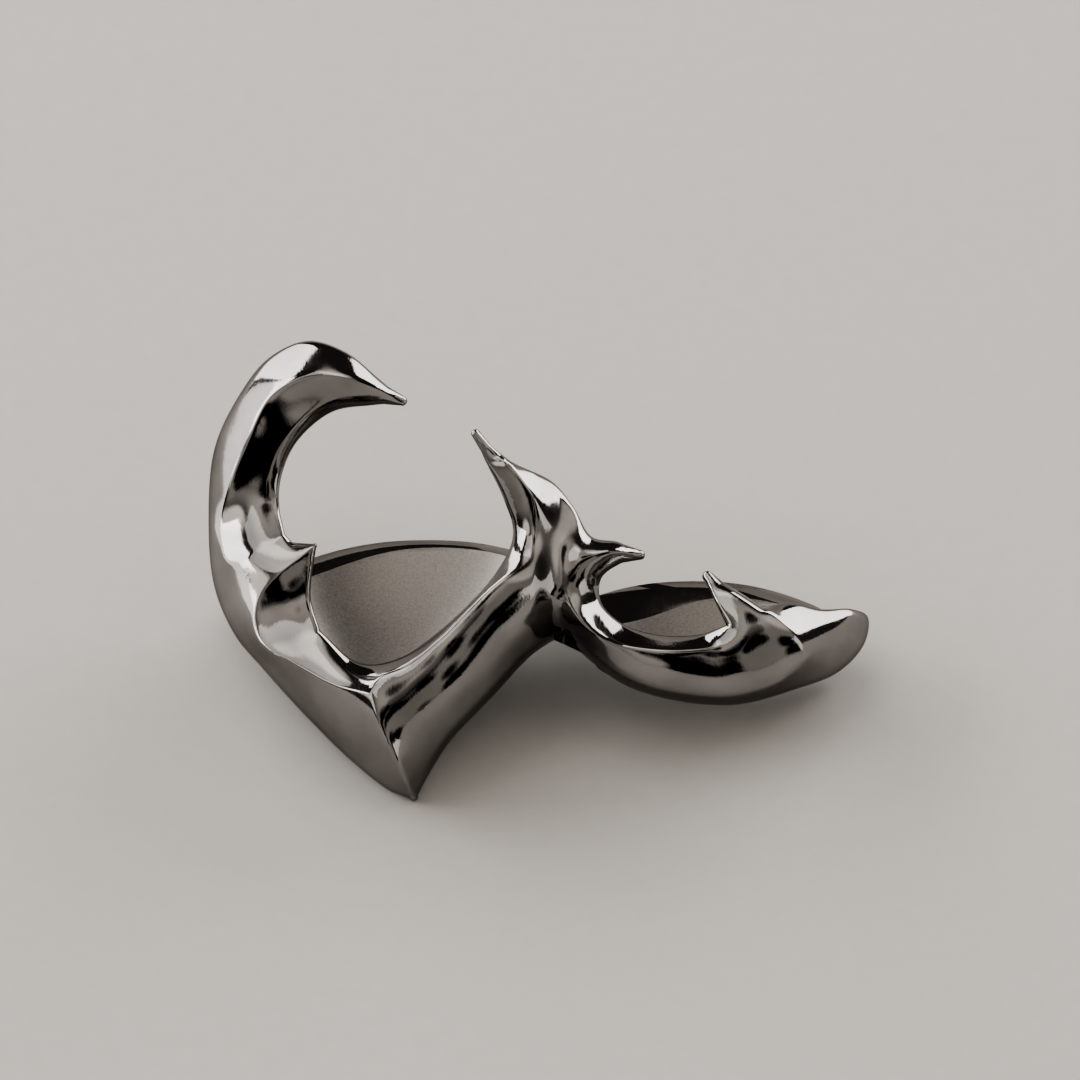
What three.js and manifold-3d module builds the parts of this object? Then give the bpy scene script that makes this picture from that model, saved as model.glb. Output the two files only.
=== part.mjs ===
// Fang grillz for one canine and the lateral incisor beside it: a one-piece metal casting.
// Millimetres. The casting is shaped as it is worn: X to the mesial side, Y to the lingual side and
// Z to the gum, with x = 0 where the two teeth touch. At the end it is laid down as it rests.
import * as THREE from "three";
import { ConvexHull } from "three/addons/math/ConvexHull.js";
import { mergeVertices } from "three/addons/utils/BufferGeometryUtils.js";
import Module from "manifold-3d";

// Driving dimensions.
const WALL = 0.6; // lingual backing, thickness
const RELIEF_DEPTH = 1.6; // the relief, from the labial tooth surface back
const FANG_TAPER = 2.6; // height over which the fang thins out to its tip
const MOST_SLIMMED = 0.85; // the largest share of the depth that is taken off the free spikes
const BODY_SWELL = 0.9; // rounding of the outer faces, 1/mm
const SCOOP_SWELL = -0.7; // hollowing of the scoops, 1/mm
const CANINE_BACKING_TOP = 3.6; // top of the backing behind the middle of the canine
const LATERAL_BACKING_TOP = 2.6; // top of the backing behind the middle of the lateral
const BACKING_DIP = 1.1; // how much lower both tops run between the teeth
const BACKING_WRAP = 0.1; // how far the backing reaches round to the front, radians
const REST_PITCH = -43.6; // turn about X from worn to lying, degrees
const REST_ROLL = 0.8; // turn about Y after that, degrees

// Mesh steps.
const EDGE_STEP = 0.24;
const FILL_STEP = 0.27;
const CROWN_RINGS = 11;
const CROWN_SIDES = 26;
const SOLVE_SWEEPS = 1500;

// The labial surfaces that the relief lies on: the front point of each crown in plan, its slope there
// and its radius. Both lean back towards the gum.
const CANINE_FACE = { x: -4.2, y: -2.9, slope: -0.2, radius: 4.8 };
const LATERAL_FACE = { x: 3.45, y: -2.5, slope: 0, radius: 7 };
const EMBRASURE = { from: -0.5, to: 0.7 };
const FACE_LEAN = 0.12;
const FACE_MIDDLE = 3;
const FACE_RADIUS = 40;

// Gives each number in a row the name of its column.
function table(columns, rows) {
  return rows.map((row) => Object.fromEntries(columns.map((name, i) => [name, row[i]])));
}

// The free points and notches that the edges of the relief run between.
const ARM_TIP = [-3.5, 6.91, 0.3];
const FANG_TIP = [-3.3, -2.66, 0.12];
const CROTCH = [0.27, 1.32, -0.2];
const BULB_NOTCH = [5.05, 2.0, 0.3];
const LATERAL_THORN_TIP = [3.64, 2.82, 0.3];
const LATERAL_THORN_ROOT = [4.18, 1.55, 0.95];
const HOOK_TIP = [2.23, 3.23, 0.3];
const RIGHT_THORN_TIP = [-1.91, 6.25, 0.3];
const LEFT_THORN_TIP = [-5.68, 3.5, 0.35];
const WINDOW_CORNER = [-5.59, 1.41, 0.5];
const WINDOW_SIDE = [-6.45, 3.73, 0.35];

// The edge of the relief seen from the front, in stretches that run on from each other.
const EDGE_COLUMNS = ["x", "z", "height"];
const EDGES = {
  hoopOuter: table(EDGE_COLUMNS, [
    ARM_TIP,
    [-4.14, 7.45, 0.35],
    [-5.0, 8.14, 0.35],
    [-5.91, 8.41, 0.35],
    [-6.86, 8.0, 0.6],
    [-7.59, 7.09, 0.85],
    [-8.18, 5.82, 1.0],
    [-8.32, 4.09, 1.05],
    [-8.18, 2.5, 0.95],
    [-7.68, 1.32, 0.7],
    [-6.95, 0.45, 0.3],
    [-5.86, -0.73, -0.1],
    [-4.77, -1.77, -0.05],
    [-3.86, -2.45, 0.0],
    FANG_TIP,
  ]),
  fangMesial: table(EDGE_COLUMNS, [
    FANG_TIP,
    [-2.95, -2.0, 0.0],
    [-2.45, -1.23, -0.1],
    [-1.41, -0.14, -0.2],
    [-0.5, 0.82, -0.2],
    CROTCH,
  ]),
  lateralLower: table(EDGE_COLUMNS, [
    CROTCH,
    [0.86, 0.73, -0.25],
    [1.77, 0.09, -0.3],
    [3.14, -0.3, -0.3],
    [4.5, -0.36, -0.3],
    [5.86, 0.0, -0.3],
    [6.91, 0.41, -0.3],
    [7.55, 1.09, -0.3],
    [7.64, 1.73, -0.3],
    [7.23, 1.93, 0.0],
    [6.5, 1.93, 0.3],
    [5.77, 2.09, 0.35],
    BULB_NOTCH,
  ]),
  lateralThornUpper: table(EDGE_COLUMNS, [BULB_NOTCH, [4.32, 2.45, 0.35], LATERAL_THORN_TIP]),
  lateralThornLower: table(EDGE_COLUMNS, [
    LATERAL_THORN_TIP,
    [3.86, 2.23, 0.74],
    LATERAL_THORN_ROOT,
  ]),
  lateralWindow: table(EDGE_COLUMNS, [
    LATERAL_THORN_ROOT,
    [3.5, 1.32, 0.48],
    [2.5, 1.32, 0.35],
    [1.68, 1.59, 0.35],
    [1.18, 2.09, 0.35],
    [1.18, 2.68, 0.35],
    [1.68, 3.05, 0.35],
    HOOK_TIP,
  ]),
  rightThornOuter: table(EDGE_COLUMNS, [
    HOOK_TIP,
    [1.59, 3.55, 0.4],
    [0.95, 3.68, 0.4],
    [0.5, 4.41, 0.62],
    [0.0, 5.0, 0.68],
    [-1.0, 5.5, 0.55],
    RIGHT_THORN_TIP,
  ]),
  canineWindowMesial: table(EDGE_COLUMNS, [
    RIGHT_THORN_TIP,
    [-1.68, 5.64, 0.35],
    [-1.18, 4.59, 0.35],
    [-0.95, 3.73, 0.35],
    [-1.36, 2.82, 0.35],
    [-2.73, 1.41, 0.4],
    [-3.77, 0.73, 0.5],
    [-4.64, 0.64, 0.56],
    WINDOW_CORNER,
  ]),
  canineWindowLower: table(EDGE_COLUMNS, [WINDOW_CORNER, [-5.82, 2.23, 0.35], LEFT_THORN_TIP]),
  leftThornUpper: table(EDGE_COLUMNS, [LEFT_THORN_TIP, [-6.18, 3.5, 0.35], WINDOW_SIDE]),
  canineWindowUpper: table(EDGE_COLUMNS, [
    WINDOW_SIDE,
    [-6.59, 4.4, 0.35],
    [-6.55, 5.1, 0.35],
    [-6.18, 5.95, 0.35],
    [-5.32, 6.68, 0.35],
    [-4.36, 6.84, 0.35],
    ARM_TIP,
  ]),
};

// The ridges and grooves of the relief, with their height above the labial surface.
const RIDGE_COLUMNS = ["x", "z", "height"];
const MEETING = [0.3, 3.42, 1.22];
const THORN_FOOT = [-6.5, 0.8, 1.25];
const FANG_CORNER = [-4.32, -0.05, 1.5];
const CRESCENT_CORNER = [6.14, 0.77, 0.95];
const RIDGES = {
  hoop: table(RIDGE_COLUMNS, [
    ARM_TIP,
    [-4.68, 7.45, 0.92],
    [-5.86, 7.55, 1.1],
    [-6.77, 7.09, 1.2],
    [-7.27, 6.14, 1.2],
    [-7.77, 4.95, 1.15],
    [-8.0, 3.91, 1.1],
    [-7.82, 3.05, 1.2],
    [-7.27, 3.23, 1.1],
    WINDOW_SIDE,
  ]),
  leftThorn: table(RIDGE_COLUMNS, [
    LEFT_THORN_TIP,
    [-6.5, 2.82, 0.9],
    [-7.05, 2.23, 1.15],
    [-7.18, 1.55, 1.25],
    [-6.95, 1.05, 1.3],
    THORN_FOOT,
    [-6.05, 0.86, 1.05],
    WINDOW_CORNER,
  ]),
  fang: table(RIDGE_COLUMNS, [
    MEETING,
    [-0.55, 3.06, 1.25],
    [-1.64, 2.36, 1.2],
    [-2.73, 1.25, 1.15],
    [-3.5, 0.62, 1.2],
    [-4.14, 0.32, 1.35],
    FANG_CORNER,
    [-4.14, -0.8, 1.6],
    [-3.74, -1.62, 1.4],
    [-3.5, -2.15, 0.95],
    FANG_TIP,
  ]),
  fangShoulder: table(RIDGE_COLUMNS, [
    THORN_FOOT,
    [-5.9, 0.45, 1.2],
    [-5.2, 0.12, 1.25],
    FANG_CORNER,
  ]),
  fangBevel: table(RIDGE_COLUMNS, [
    CROTCH,
    [-0.12, 1.22, 0.45],
    [-0.59, 0.93, 0.46],
    [-1.51, -0.04, 0.44],
    [-2.55, -1.13, 0.42],
    [-3.07, -1.93, 0.34],
    [-3.2, -2.25, 0.28],
  ]),
  rightThorn: table(RIDGE_COLUMNS, [
    RIGHT_THORN_TIP,
    [-1.23, 5.68, 0.75],
    [-0.68, 4.95, 1.0],
    [-0.16, 4.15, 1.15],
    MEETING,
  ]),
  crescent: table(RIDGE_COLUMNS, [
    HOOK_TIP,
    [1.27, 3.32, 0.95],
    [0.64, 3.05, 1.2],
    [0.32, 2.36, 1.3],
    [0.64, 1.68, 1.3],
    [1.32, 1.18, 1.25],
    [2.23, 1.0, 1.2],
    [3.36, 0.98, 1.15],
    [4.0, 1.1, 1.05],
    LATERAL_THORN_ROOT,
  ]),
  lateralThorn: table(RIDGE_COLUMNS, [
    LATERAL_THORN_TIP,
    [4.5, 2.3, 0.85],
    [5.32, 1.82, 1.1],
    [5.86, 1.27, 1.15],
    CRESCENT_CORNER,
  ]),
  crescentBevel: table(RIDGE_COLUMNS, [
    CRESCENT_CORNER,
    [5.5, 0.22, 0.8],
    [5.0, 0.0, 0.72],
    [4.2, -0.17, 0.64],
    [3.2, -0.11, 0.68],
    [2.3, 0.08, 0.76],
    [1.55, 0.41, 0.82],
    [1.0, 0.83, 0.76],
    [0.66, 1.15, 0.6],
    CROTCH,
  ]),
  crotchGroove: table(RIDGE_COLUMNS, [
    CROTCH,
    [0.18, 1.68, 0.7],
    [0.12, 2.0, 1.08],
    [0.1, 2.3, 1.27],
  ]),
};

// A point inside each scoop: the fields that are hollowed instead of rounded.
const SCOOPS = table(["x", "z"], [
  [-6.9, 5.6],
  [-6.4, 1.6],
  [1.0, 1.9],
]);

// Where the faces swell more or less than the rest: the reach, and the swell added in the middle, 1/mm.
const LOCAL_COLUMNS = ["x", "z", "reach", "added"];
const SWELLS = table(LOCAL_COLUMNS, [
  [6.7, 1.4, 1.0, 1.4],
  [-3.5, -1.6, 1.4, -1.2],
  [-7.2, 4.0, 0.8, 1.6],
]);

// Where the relief is slimmer from front to back: the reach, and the share of its depth taken off.
const SLIMMED = table(LOCAL_COLUMNS, [
  [-3.5, 6.91, 3.4, 0.8],
  [-6.2, 8.3, 2.2, 0.45],
  [-1.91, 6.25, 3.2, 0.85],
  [0.3, 4.7, 1.6, 0.75],
  [-5.68, 3.5, 1.2, 0.6],
  [2.23, 3.23, 1.8, 0.75],
  [3.64, 2.82, 1.8, 0.75],
  [7.7, 1.5, 1.5, 0.5],
]);

// What the rows of such a table add up to at a point, each fading out over its reach.
function gathered(rows, p) {
  return rows.reduce((sum, row) => {
    const apart = Math.hypot(p.x - row.x, p.z - row.z);
    return sum + row.added * THREE.MathUtils.smoothstep(row.reach - apart, 0, row.reach);
  }, 0);
}

// The crowns that the casting fits over. Each section has its middle, half width, distance behind the
// labial surface and thickness from front to back.
const CROWN_COLUMNS = ["z", "x", "halfWidth", "setback", "thickness"];
const CANINE_CROWN = table(CROWN_COLUMNS, [
  [-0.3, -4.1, 0.45, 0.75, 0.8],
  [0.6, -4.15, 1.8, 0.35, 2.2],
  [2.0, -4.2, 3.1, 0.1, 3.8],
  [4.0, -4.2, 3.8, 0.0, 5.4],
  [6.0, -4.2, 3.6, 0.0, 6.6],
  [8.0, -4.2, 3.2, 0.0, 7.2],
  [10.5, -4.2, 2.9, 0.1, 7.2],
]);
const LATERAL_CROWN = table(CROWN_COLUMNS, [
  [0.45, 3.75, 1.9, 0.35, 0.9],
  [0.9, 3.75, 2.25, 0.15, 1.5],
  [2.2, 3.45, 3.3, 0.0, 2.6],
  [4.0, 3.45, 3.35, 0.0, 3.9],
  [6.0, 3.45, 2.9, 0.0, 5.1],
  [8.0, 3.45, 2.5, 0.0, 5.6],
  [10.5, 3.45, 2.3, 0.1, 5.6],
]);
const FANG_CORE = table(CROWN_COLUMNS, [
  [-2.5, -3.34, 0.1, -0.1, 0.2],
  [-1.6, -3.55, 0.7, 0.0, 1.0],
  [-0.6, -3.95, 1.6, 0.0, 1.9],
]);
const LATERAL_SOLE = table(CROWN_COLUMNS, [[-0.12, 3.95, 1.3, 0.2, 0.8]]);
const CROWN_SQUARENESS = 2.3;

// Depth of one crown's front in plan.
function faceDepth(face, x) {
  const across = x - face.x;
  return face.y + face.slope * across + (across * across) / (2 * face.radius);
}

// Depth of the labial surface under the relief.
function labialDepth(x, z) {
  const blend = THREE.MathUtils.smoothstep(x, EMBRASURE.from, EMBRASURE.to);
  const canine = faceDepth(CANINE_FACE, x);
  const lateral = faceDepth(LATERAL_FACE, x);
  const up = z - FACE_MIDDLE;
  return THREE.MathUtils.lerp(canine, lateral, blend) + FACE_LEAN * up + (up * up) / (2 * FACE_RADIUS);
}

// Even points on a smooth curve through the rows of a table, as x, z and height.
function smoothLine(rows, step) {
  const through = rows.map((row) => new THREE.Vector3(row.x, row.z, row.height));
  const curve = new THREE.CatmullRomCurve3(through, false, "centripetal");
  const pieces = Math.max(2, Math.round(curve.getLength() / step));
  return curve.getSpacedPoints(pieces).map((p) => ({ x: p.x, z: p.y, height: p.z }));
}

// Whether a point lies inside a closed outline.
function isInside(outline, x, z) {
  let inside = false;
  outline.forEach((a, i) => {
    const b = outline[(i + 1) % outline.length];
    if (a.z > z !== b.z > z && x < a.x + ((z - a.z) / (b.z - a.z)) * (b.x - a.x)) inside = !inside;
  });
  return inside;
}

// Delaunay triangles of points in the x, z plane: the underside of their hull once each is lifted onto
// a paraboloid.
function triangulate(points) {
  const indexOf = new Map();
  const lifted = points.map((p, i) => {
    const v = new THREE.Vector3(p.x, p.z, p.x * p.x + p.z * p.z);
    indexOf.set(v, i);
    return v;
  });
  const below = new ConvexHull().setFromPoints(lifted).faces.filter((face) => face.normal.z < 0);
  return below.map((face) => {
    const first = face.edge;
    const corners = [first, first.next, first.next.next];
    return corners.map((edge) => indexOf.get(edge.head().point)).reverse();
  });
}

// A name for the edge between two points, the same from either end.
function edgeName(a, b) {
  return a < b ? `${a}-${b}` : `${b}-${a}`;
}

// Triangles of the relief's plan, split until every edge and ridge line is a line of the mesh.
function planMesh() {
  const points = [];
  const lines = [];
  function addPoint(p) {
    const same = points.findIndex((q) => Math.hypot(p.x - q.x, p.z - q.z) < 1e-6);
    return same >= 0 ? same : points.push({ ...p, fixed: true }) - 1;
  }
  function addLine(rows) {
    const ids = smoothLine(rows, EDGE_STEP).map(addPoint);
    ids.slice(1).forEach((id, i) => lines.push([ids[i], id]));
  }
  const outline = Object.values(EDGES).flatMap((rows) => smoothLine(rows, EDGE_STEP).slice(1));
  Object.values(EDGES).forEach(addLine);
  Object.values(RIDGES).forEach(addLine);

  const fixedCount = points.length;
  const leftmost = Math.min(...outline.map((p) => p.x));
  const rightmost = Math.max(...outline.map((p) => p.x));
  const lowest = Math.min(...outline.map((p) => p.z));
  const highest = Math.max(...outline.map((p) => p.z));
  const rowStep = FILL_STEP * Math.sqrt(0.75);
  for (let row = Math.floor(lowest / rowStep); row * rowStep < highest; row += 1) {
    for (let column = Math.floor(leftmost / FILL_STEP); column * FILL_STEP < rightmost; column += 1) {
      const x = (column + (row % 2) * 0.5) * FILL_STEP + 0.01 * Math.sin(7 * column + 3 * row);
      const z = row * rowStep + 0.01 * Math.sin(5 * column + 11 * row);
      const near = points.slice(0, fixedCount).some((p) => Math.hypot(p.x - x, p.z - z) < 0.6 * FILL_STEP);
      if (!near && isInside(outline, x, z)) points.push({ x, z, height: 0, fixed: false });
    }
  }

  let triangles = triangulate(points);
  for (let round = 0; round < 8; round += 1) {
    const present = new Set();
    triangles.forEach((t) => t.forEach((a, i) => present.add(edgeName(a, t[(i + 1) % 3]))));
    const missing = lines.filter(([a, b]) => !present.has(edgeName(a, b)));
    if (missing.length === 0) break;
    missing.forEach((line) => {
      const a = points[line[0]];
      const b = points[line[1]];
      const middle = { x: (a.x + b.x) / 2, z: (a.z + b.z) / 2, height: (a.height + b.height) / 2 };
      const id = points.push({ ...middle, fixed: true }) - 1;
      lines.push([id, line[1]]);
      line[1] = id;
    });
    triangles = triangulate(points);
  }
  const kept = triangles.filter((t) => {
    const x = (points[t[0]].x + points[t[1]].x + points[t[2]].x) / 3;
    const z = (points[t[0]].z + points[t[1]].z + points[t[2]].z) / 3;
    return isInside(outline, x, z);
  });
  return { points, triangles: kept };
}

// The pull of each point on its neighbours in a stretched film, and the area that it carries.
function filmWeights({ points, triangles }) {
  const pulls = points.map(() => new Map());
  const areas = points.map(() => 0);
  triangles.forEach((t) => {
    t.forEach((tip, i) => {
      const a = t[(i + 1) % 3];
      const b = t[(i + 2) % 3];
      const u = [points[a].x - points[tip].x, points[a].z - points[tip].z];
      const v = [points[b].x - points[tip].x, points[b].z - points[tip].z];
      const twiceArea = u[0] * v[1] - u[1] * v[0];
      const pull = Math.max((u[0] * v[0] + u[1] * v[1]) / twiceArea / 2, 0);
      pulls[a].set(b, (pulls[a].get(b) ?? 0) + pull);
      pulls[b].set(a, (pulls[b].get(a) ?? 0) + pull);
      areas[tip] += twiceArea / 6;
    });
  });
  return { pulls, areas };
}

// Heights between the edges and ridges: a film stretched over them, swollen outwards on the body and
// inwards in the scoops.
function stretchFilm({ points, triangles }) {
  const { pulls, areas } = filmWeights({ points, triangles });
  const free = points.map((_, i) => i).filter((i) => !points[i].fixed && pulls[i].size > 0);
  const swell = points.map(() => BODY_SWELL);
  SCOOPS.forEach((scoop) => {
    const distance = (i) => Math.hypot(points[i].x - scoop.x, points[i].z - scoop.z);
    const front = [free.reduce((best, i) => (distance(i) < distance(best) ? i : best))];
    while (front.length > 0) {
      const at = front.pop();
      swell[at] = SCOOP_SWELL;
      const beyond = [...pulls[at].keys()].filter((j) => !points[j].fixed && swell[j] !== SCOOP_SWELL);
      front.push(...beyond);
    }
  });
  const pushes = points.map((p, i) => (swell[i] + gathered(SWELLS, p)) * areas[i]);
  for (let sweep = 0; sweep < SOLVE_SWEEPS; sweep += 1) {
    free.forEach((i) => {
      let sum = pushes[i];
      let total = 0;
      pulls[i].forEach((pull, j) => {
        sum += pull * points[j].height;
        total += pull;
      });
      points[i].height = sum / total;
    });
  }
}

// The relief: its front from the film, its back inside the teeth, and walls along its edge.
function reliefGeometry() {
  const plan = planMesh();
  stretchFilm(plan);
  const { points, triangles } = plan;
  const positions = [];
  points.forEach((p) => positions.push(p.x, labialDepth(p.x, p.z) - p.height, p.z));
  points.forEach((p) => {
    const full = THREE.MathUtils.clamp((p.z - FANG_TIP[1]) / FANG_TAPER, 0, 1);
    const body = 1 - Math.min(gathered(SLIMMED, p), MOST_SLIMMED);
    positions.push(p.x, labialDepth(p.x, p.z) + RELIEF_DEPTH * full * body, p.z);
  });
  const back = points.length;
  const used = new Set();
  triangles.forEach((t) => t.forEach((a, i) => used.add(`${a}>${t[(i + 1) % 3]}`)));
  const index = [];
  triangles.forEach(([a, b, c]) => {
    index.push(a, b, c);
    index.push(back + a, back + c, back + b);
  });
  triangles.forEach((t) => {
    t.forEach((a, i) => {
      const b = t[(i + 1) % 3];
      if (used.has(`${b}>${a}`)) return;
      index.push(a, back + a, back + b);
      index.push(a, back + b, b);
    });
  });
  const geometry = new THREE.BufferGeometry();
  geometry.setAttribute("position", new THREE.Float32BufferAttribute(positions, 3));
  geometry.setIndex(index);
  return geometry;
}

// A signed power, for the rounded-square sections of a crown.
function signedPower(value, power) {
  return Math.sign(value) * Math.abs(value) ** power;
}

// A loft through crown sections. Angles run from the mesial side over the lingual side; `dip` lowers
// the top between the teeth.
function crownGeometry(rows, face, { from, to, closed, top, dip }) {
  const columns = CROWN_COLUMNS.slice(1);
  const values = rows.flatMap((row) => columns.map((name) => row[name]));
  const sections = new THREE.CubicInterpolant(
    rows.map((row) => row.z),
    values,
    columns.length,
    new Float32Array(columns.length),
  );
  const run = Math.hypot(1, face.slope);
  const sides = CROWN_SIDES;
  const perRing = closed ? sides : sides + 1;
  const positions = [];
  for (let ring = 0; ring <= CROWN_RINGS; ring += 1) {
    const share = ring / CROWN_RINGS;
    const z = THREE.MathUtils.lerp(rows[0].z, top, share);
    const [x, halfWidth, setback, thickness] = sections.evaluate(z);
    const front = labialDepth(x, z) + setback;
    for (let side = 0; side < perRing; side += 1) {
      const angle = from + ((to - from) * side) / sides;
      const across = halfWidth * signedPower(Math.cos(angle), 2 / CROWN_SQUARENESS);
      const deep = (thickness / 2) * (1 + signedPower(Math.sin(angle), 2 / CROWN_SQUARENESS));
      positions.push(
        x + (across - face.slope * deep) / run,
        front + (face.slope * across + deep) / run,
        z - dip * share * share * Math.cos(angle) ** 2,
      );
    }
  }
  const index = [];
  for (let ring = 0; ring < CROWN_RINGS; ring += 1) {
    for (let side = 0; side < perRing; side += 1) {
      const next = (side + 1) % perRing;
      const low = ring * perRing;
      const high = low + perRing;
      index.push(low + side, low + next, high + next);
      index.push(low + side, high + next, high + side);
    }
  }
  const last = CROWN_RINGS * perRing;
  for (let side = 1; side < perRing - 1; side += 1) {
    index.push(0, side + 1, side);
    index.push(last, last + side, last + side + 1);
  }
  const geometry = new THREE.BufferGeometry();
  geometry.setAttribute("position", new THREE.Float32BufferAttribute(positions, 3));
  geometry.setIndex(index);
  return geometry;
}

// Crown sections made larger by the wall of the backing.
function grown(rows) {
  return rows.map((row) => ({
    z: row.z,
    x: row.x,
    halfWidth: row.halfWidth + WALL,
    setback: row.setback - WALL,
    thickness: row.thickness + 2 * WALL,
  }));
}

// The tooth that the casting fits over, from its cutting edge to above the gum.
function toothGeometry(rows, face) {
  const shape = { from: 0, to: 2 * Math.PI, closed: true, top: rows[rows.length - 1].z, dip: 0 };
  return crownGeometry(rows, face, shape);
}

// The lingual half of a grown crown, up to a height.
function backingGeometry(rows, face, top) {
  const shape = {
    from: -BACKING_WRAP,
    to: Math.PI + BACKING_WRAP,
    closed: false,
    top,
    dip: BACKING_DIP,
  };
  return crownGeometry(rows, face, shape);
}

const wasm = await Module();
wasm.setup();

// A geometry as a solid that can be joined and cut.
function solidFrom(geometry) {
  const bare = new THREE.BufferGeometry();
  bare.setAttribute("position", geometry.getAttribute("position"));
  bare.setIndex(geometry.getIndex());
  const merged = mergeVertices(bare, 1e-5);
  const mesh = new wasm.Mesh({
    numProp: 3,
    vertProperties: merged.attributes.position.array,
    triVerts: new Uint32Array(merged.index.array),
  });
  return new wasm.Manifold(mesh);
}

// The casting as it is worn: relief and backing joined, with the two crowns cut out of them.
function castingSolid() {
  const canineShell = [...FANG_CORE, ...grown(CANINE_CROWN.slice(1))];
  const lateralShell = [...LATERAL_SOLE, ...grown(LATERAL_CROWN)];
  return solidFrom(reliefGeometry())
    .add(solidFrom(backingGeometry(canineShell, CANINE_FACE, CANINE_BACKING_TOP)))
    .add(solidFrom(backingGeometry(lateralShell, LATERAL_FACE, LATERAL_BACKING_TOP)))
    .subtract(solidFrom(toothGeometry(CANINE_CROWN, CANINE_FACE)))
    .subtract(solidFrom(toothGeometry(LATERAL_CROWN, LATERAL_FACE)));
}

// The casting as a mesh, lying on its lingual side with the middle of its footprint on the origin.
function castingMesh() {
  const { vertProperties, triVerts } = castingSolid().getMesh();
  const geometry = new THREE.BufferGeometry();
  geometry.setAttribute("position", new THREE.Float32BufferAttribute(vertProperties, 3));
  geometry.setIndex(new THREE.Uint32BufferAttribute(triVerts, 1));
  geometry.rotateX(THREE.MathUtils.degToRad(REST_PITCH));
  geometry.rotateY(THREE.MathUtils.degToRad(REST_ROLL));
  geometry.computeBoundingBox();
  const middle = geometry.boundingBox.getCenter(new THREE.Vector3());
  geometry.translate(-middle.x, -middle.y, -geometry.boundingBox.min.z);
  const silver = new THREE.MeshStandardMaterial({ color: 0x999693, metalness: 1, roughness: 0.12 });
  const mesh = new THREE.Mesh(geometry, silver);
  mesh.name = "grillz_casting";
  return mesh;
}

const grillz = new THREE.Group();
grillz.add(castingMesh());

export default grillz;
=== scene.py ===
"""Fang grillz with a canine cap and a lateral cap: a polished silver casting at rest.

The casting is shaped upright, as it is worn, in millimetres: X to the mesial side, Y to the lingual
side and Z up, with x = 0 where the two caps meet. Then it is laid down as it rests, in metres.
"""

import logging
import math
from collections.abc import Iterable, Sequence
from dataclasses import dataclass, field
from enum import Enum

import bpy
import numpy as np
from mathutils import Matrix, Vector
from mathutils.geometry import delaunay_2d_cdt
from mathutils.kdtree import KDTree

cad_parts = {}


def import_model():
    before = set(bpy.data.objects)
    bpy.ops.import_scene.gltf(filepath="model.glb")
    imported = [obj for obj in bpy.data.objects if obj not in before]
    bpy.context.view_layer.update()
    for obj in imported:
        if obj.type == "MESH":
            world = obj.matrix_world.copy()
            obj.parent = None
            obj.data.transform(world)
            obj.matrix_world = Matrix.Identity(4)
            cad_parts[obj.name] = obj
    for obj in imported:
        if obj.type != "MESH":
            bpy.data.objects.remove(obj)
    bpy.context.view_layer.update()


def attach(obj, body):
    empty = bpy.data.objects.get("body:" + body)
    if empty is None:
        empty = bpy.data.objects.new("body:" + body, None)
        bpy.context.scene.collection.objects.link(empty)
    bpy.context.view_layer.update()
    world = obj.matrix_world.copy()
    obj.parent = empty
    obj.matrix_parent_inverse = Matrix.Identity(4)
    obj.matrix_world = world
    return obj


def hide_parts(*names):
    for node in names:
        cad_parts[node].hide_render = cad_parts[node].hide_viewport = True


LOG = logging.getLogger("fang_grillz")
NODE = "grillz_casting"
BODY = "root"
METRES = 0.001

# How many parts a smooth curve has between two knots.
CURVE_PARTS = 40

# What counts as the same place and as on the edge, mm.
SAME_PLACE = 1e-5
ON_EDGE = 1e-4

# A table of sizes, what the inputs of a node take, and a table of nodes: kind, settings and inputs.
Rows = Sequence[Sequence[float]]
Inputs = dict[str | int, object]
NodeRows = dict[str, tuple[str, dict[str, object], Inputs]]

# The free points and notches that the edges of the relief run between: x, z and height.
ARM_TIP = (-3.5, 6.91, 0.3)
FANG_TIP = (-3.3, -2.66, 0.12)
CROTCH = (0.27, 1.32, -0.2)
BULB_NOTCH = (5.05, 2.0, 0.3)
LATERAL_THORN_TIP = (3.64, 2.82, 0.3)
LATERAL_THORN_ROOT = (4.18, 1.55, 0.95)
HOOK_TIP = (2.23, 3.23, 0.3)
RIGHT_THORN_TIP = (-1.91, 6.25, 0.3)
LEFT_THORN_TIP = (-5.68, 3.5, 0.35)
WINDOW_CORNER = (-5.59, 1.41, 0.5)
WINDOW_SIDE = (-6.45, 3.73, 0.35)
MEETING = (0.3, 3.42, 1.22)
THORN_FOOT = (-6.5, 0.8, 1.25)
FANG_CORNER = (-4.32, -0.05, 1.5)
CRESCENT_CORNER = (6.14, 0.77, 0.95)

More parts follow.
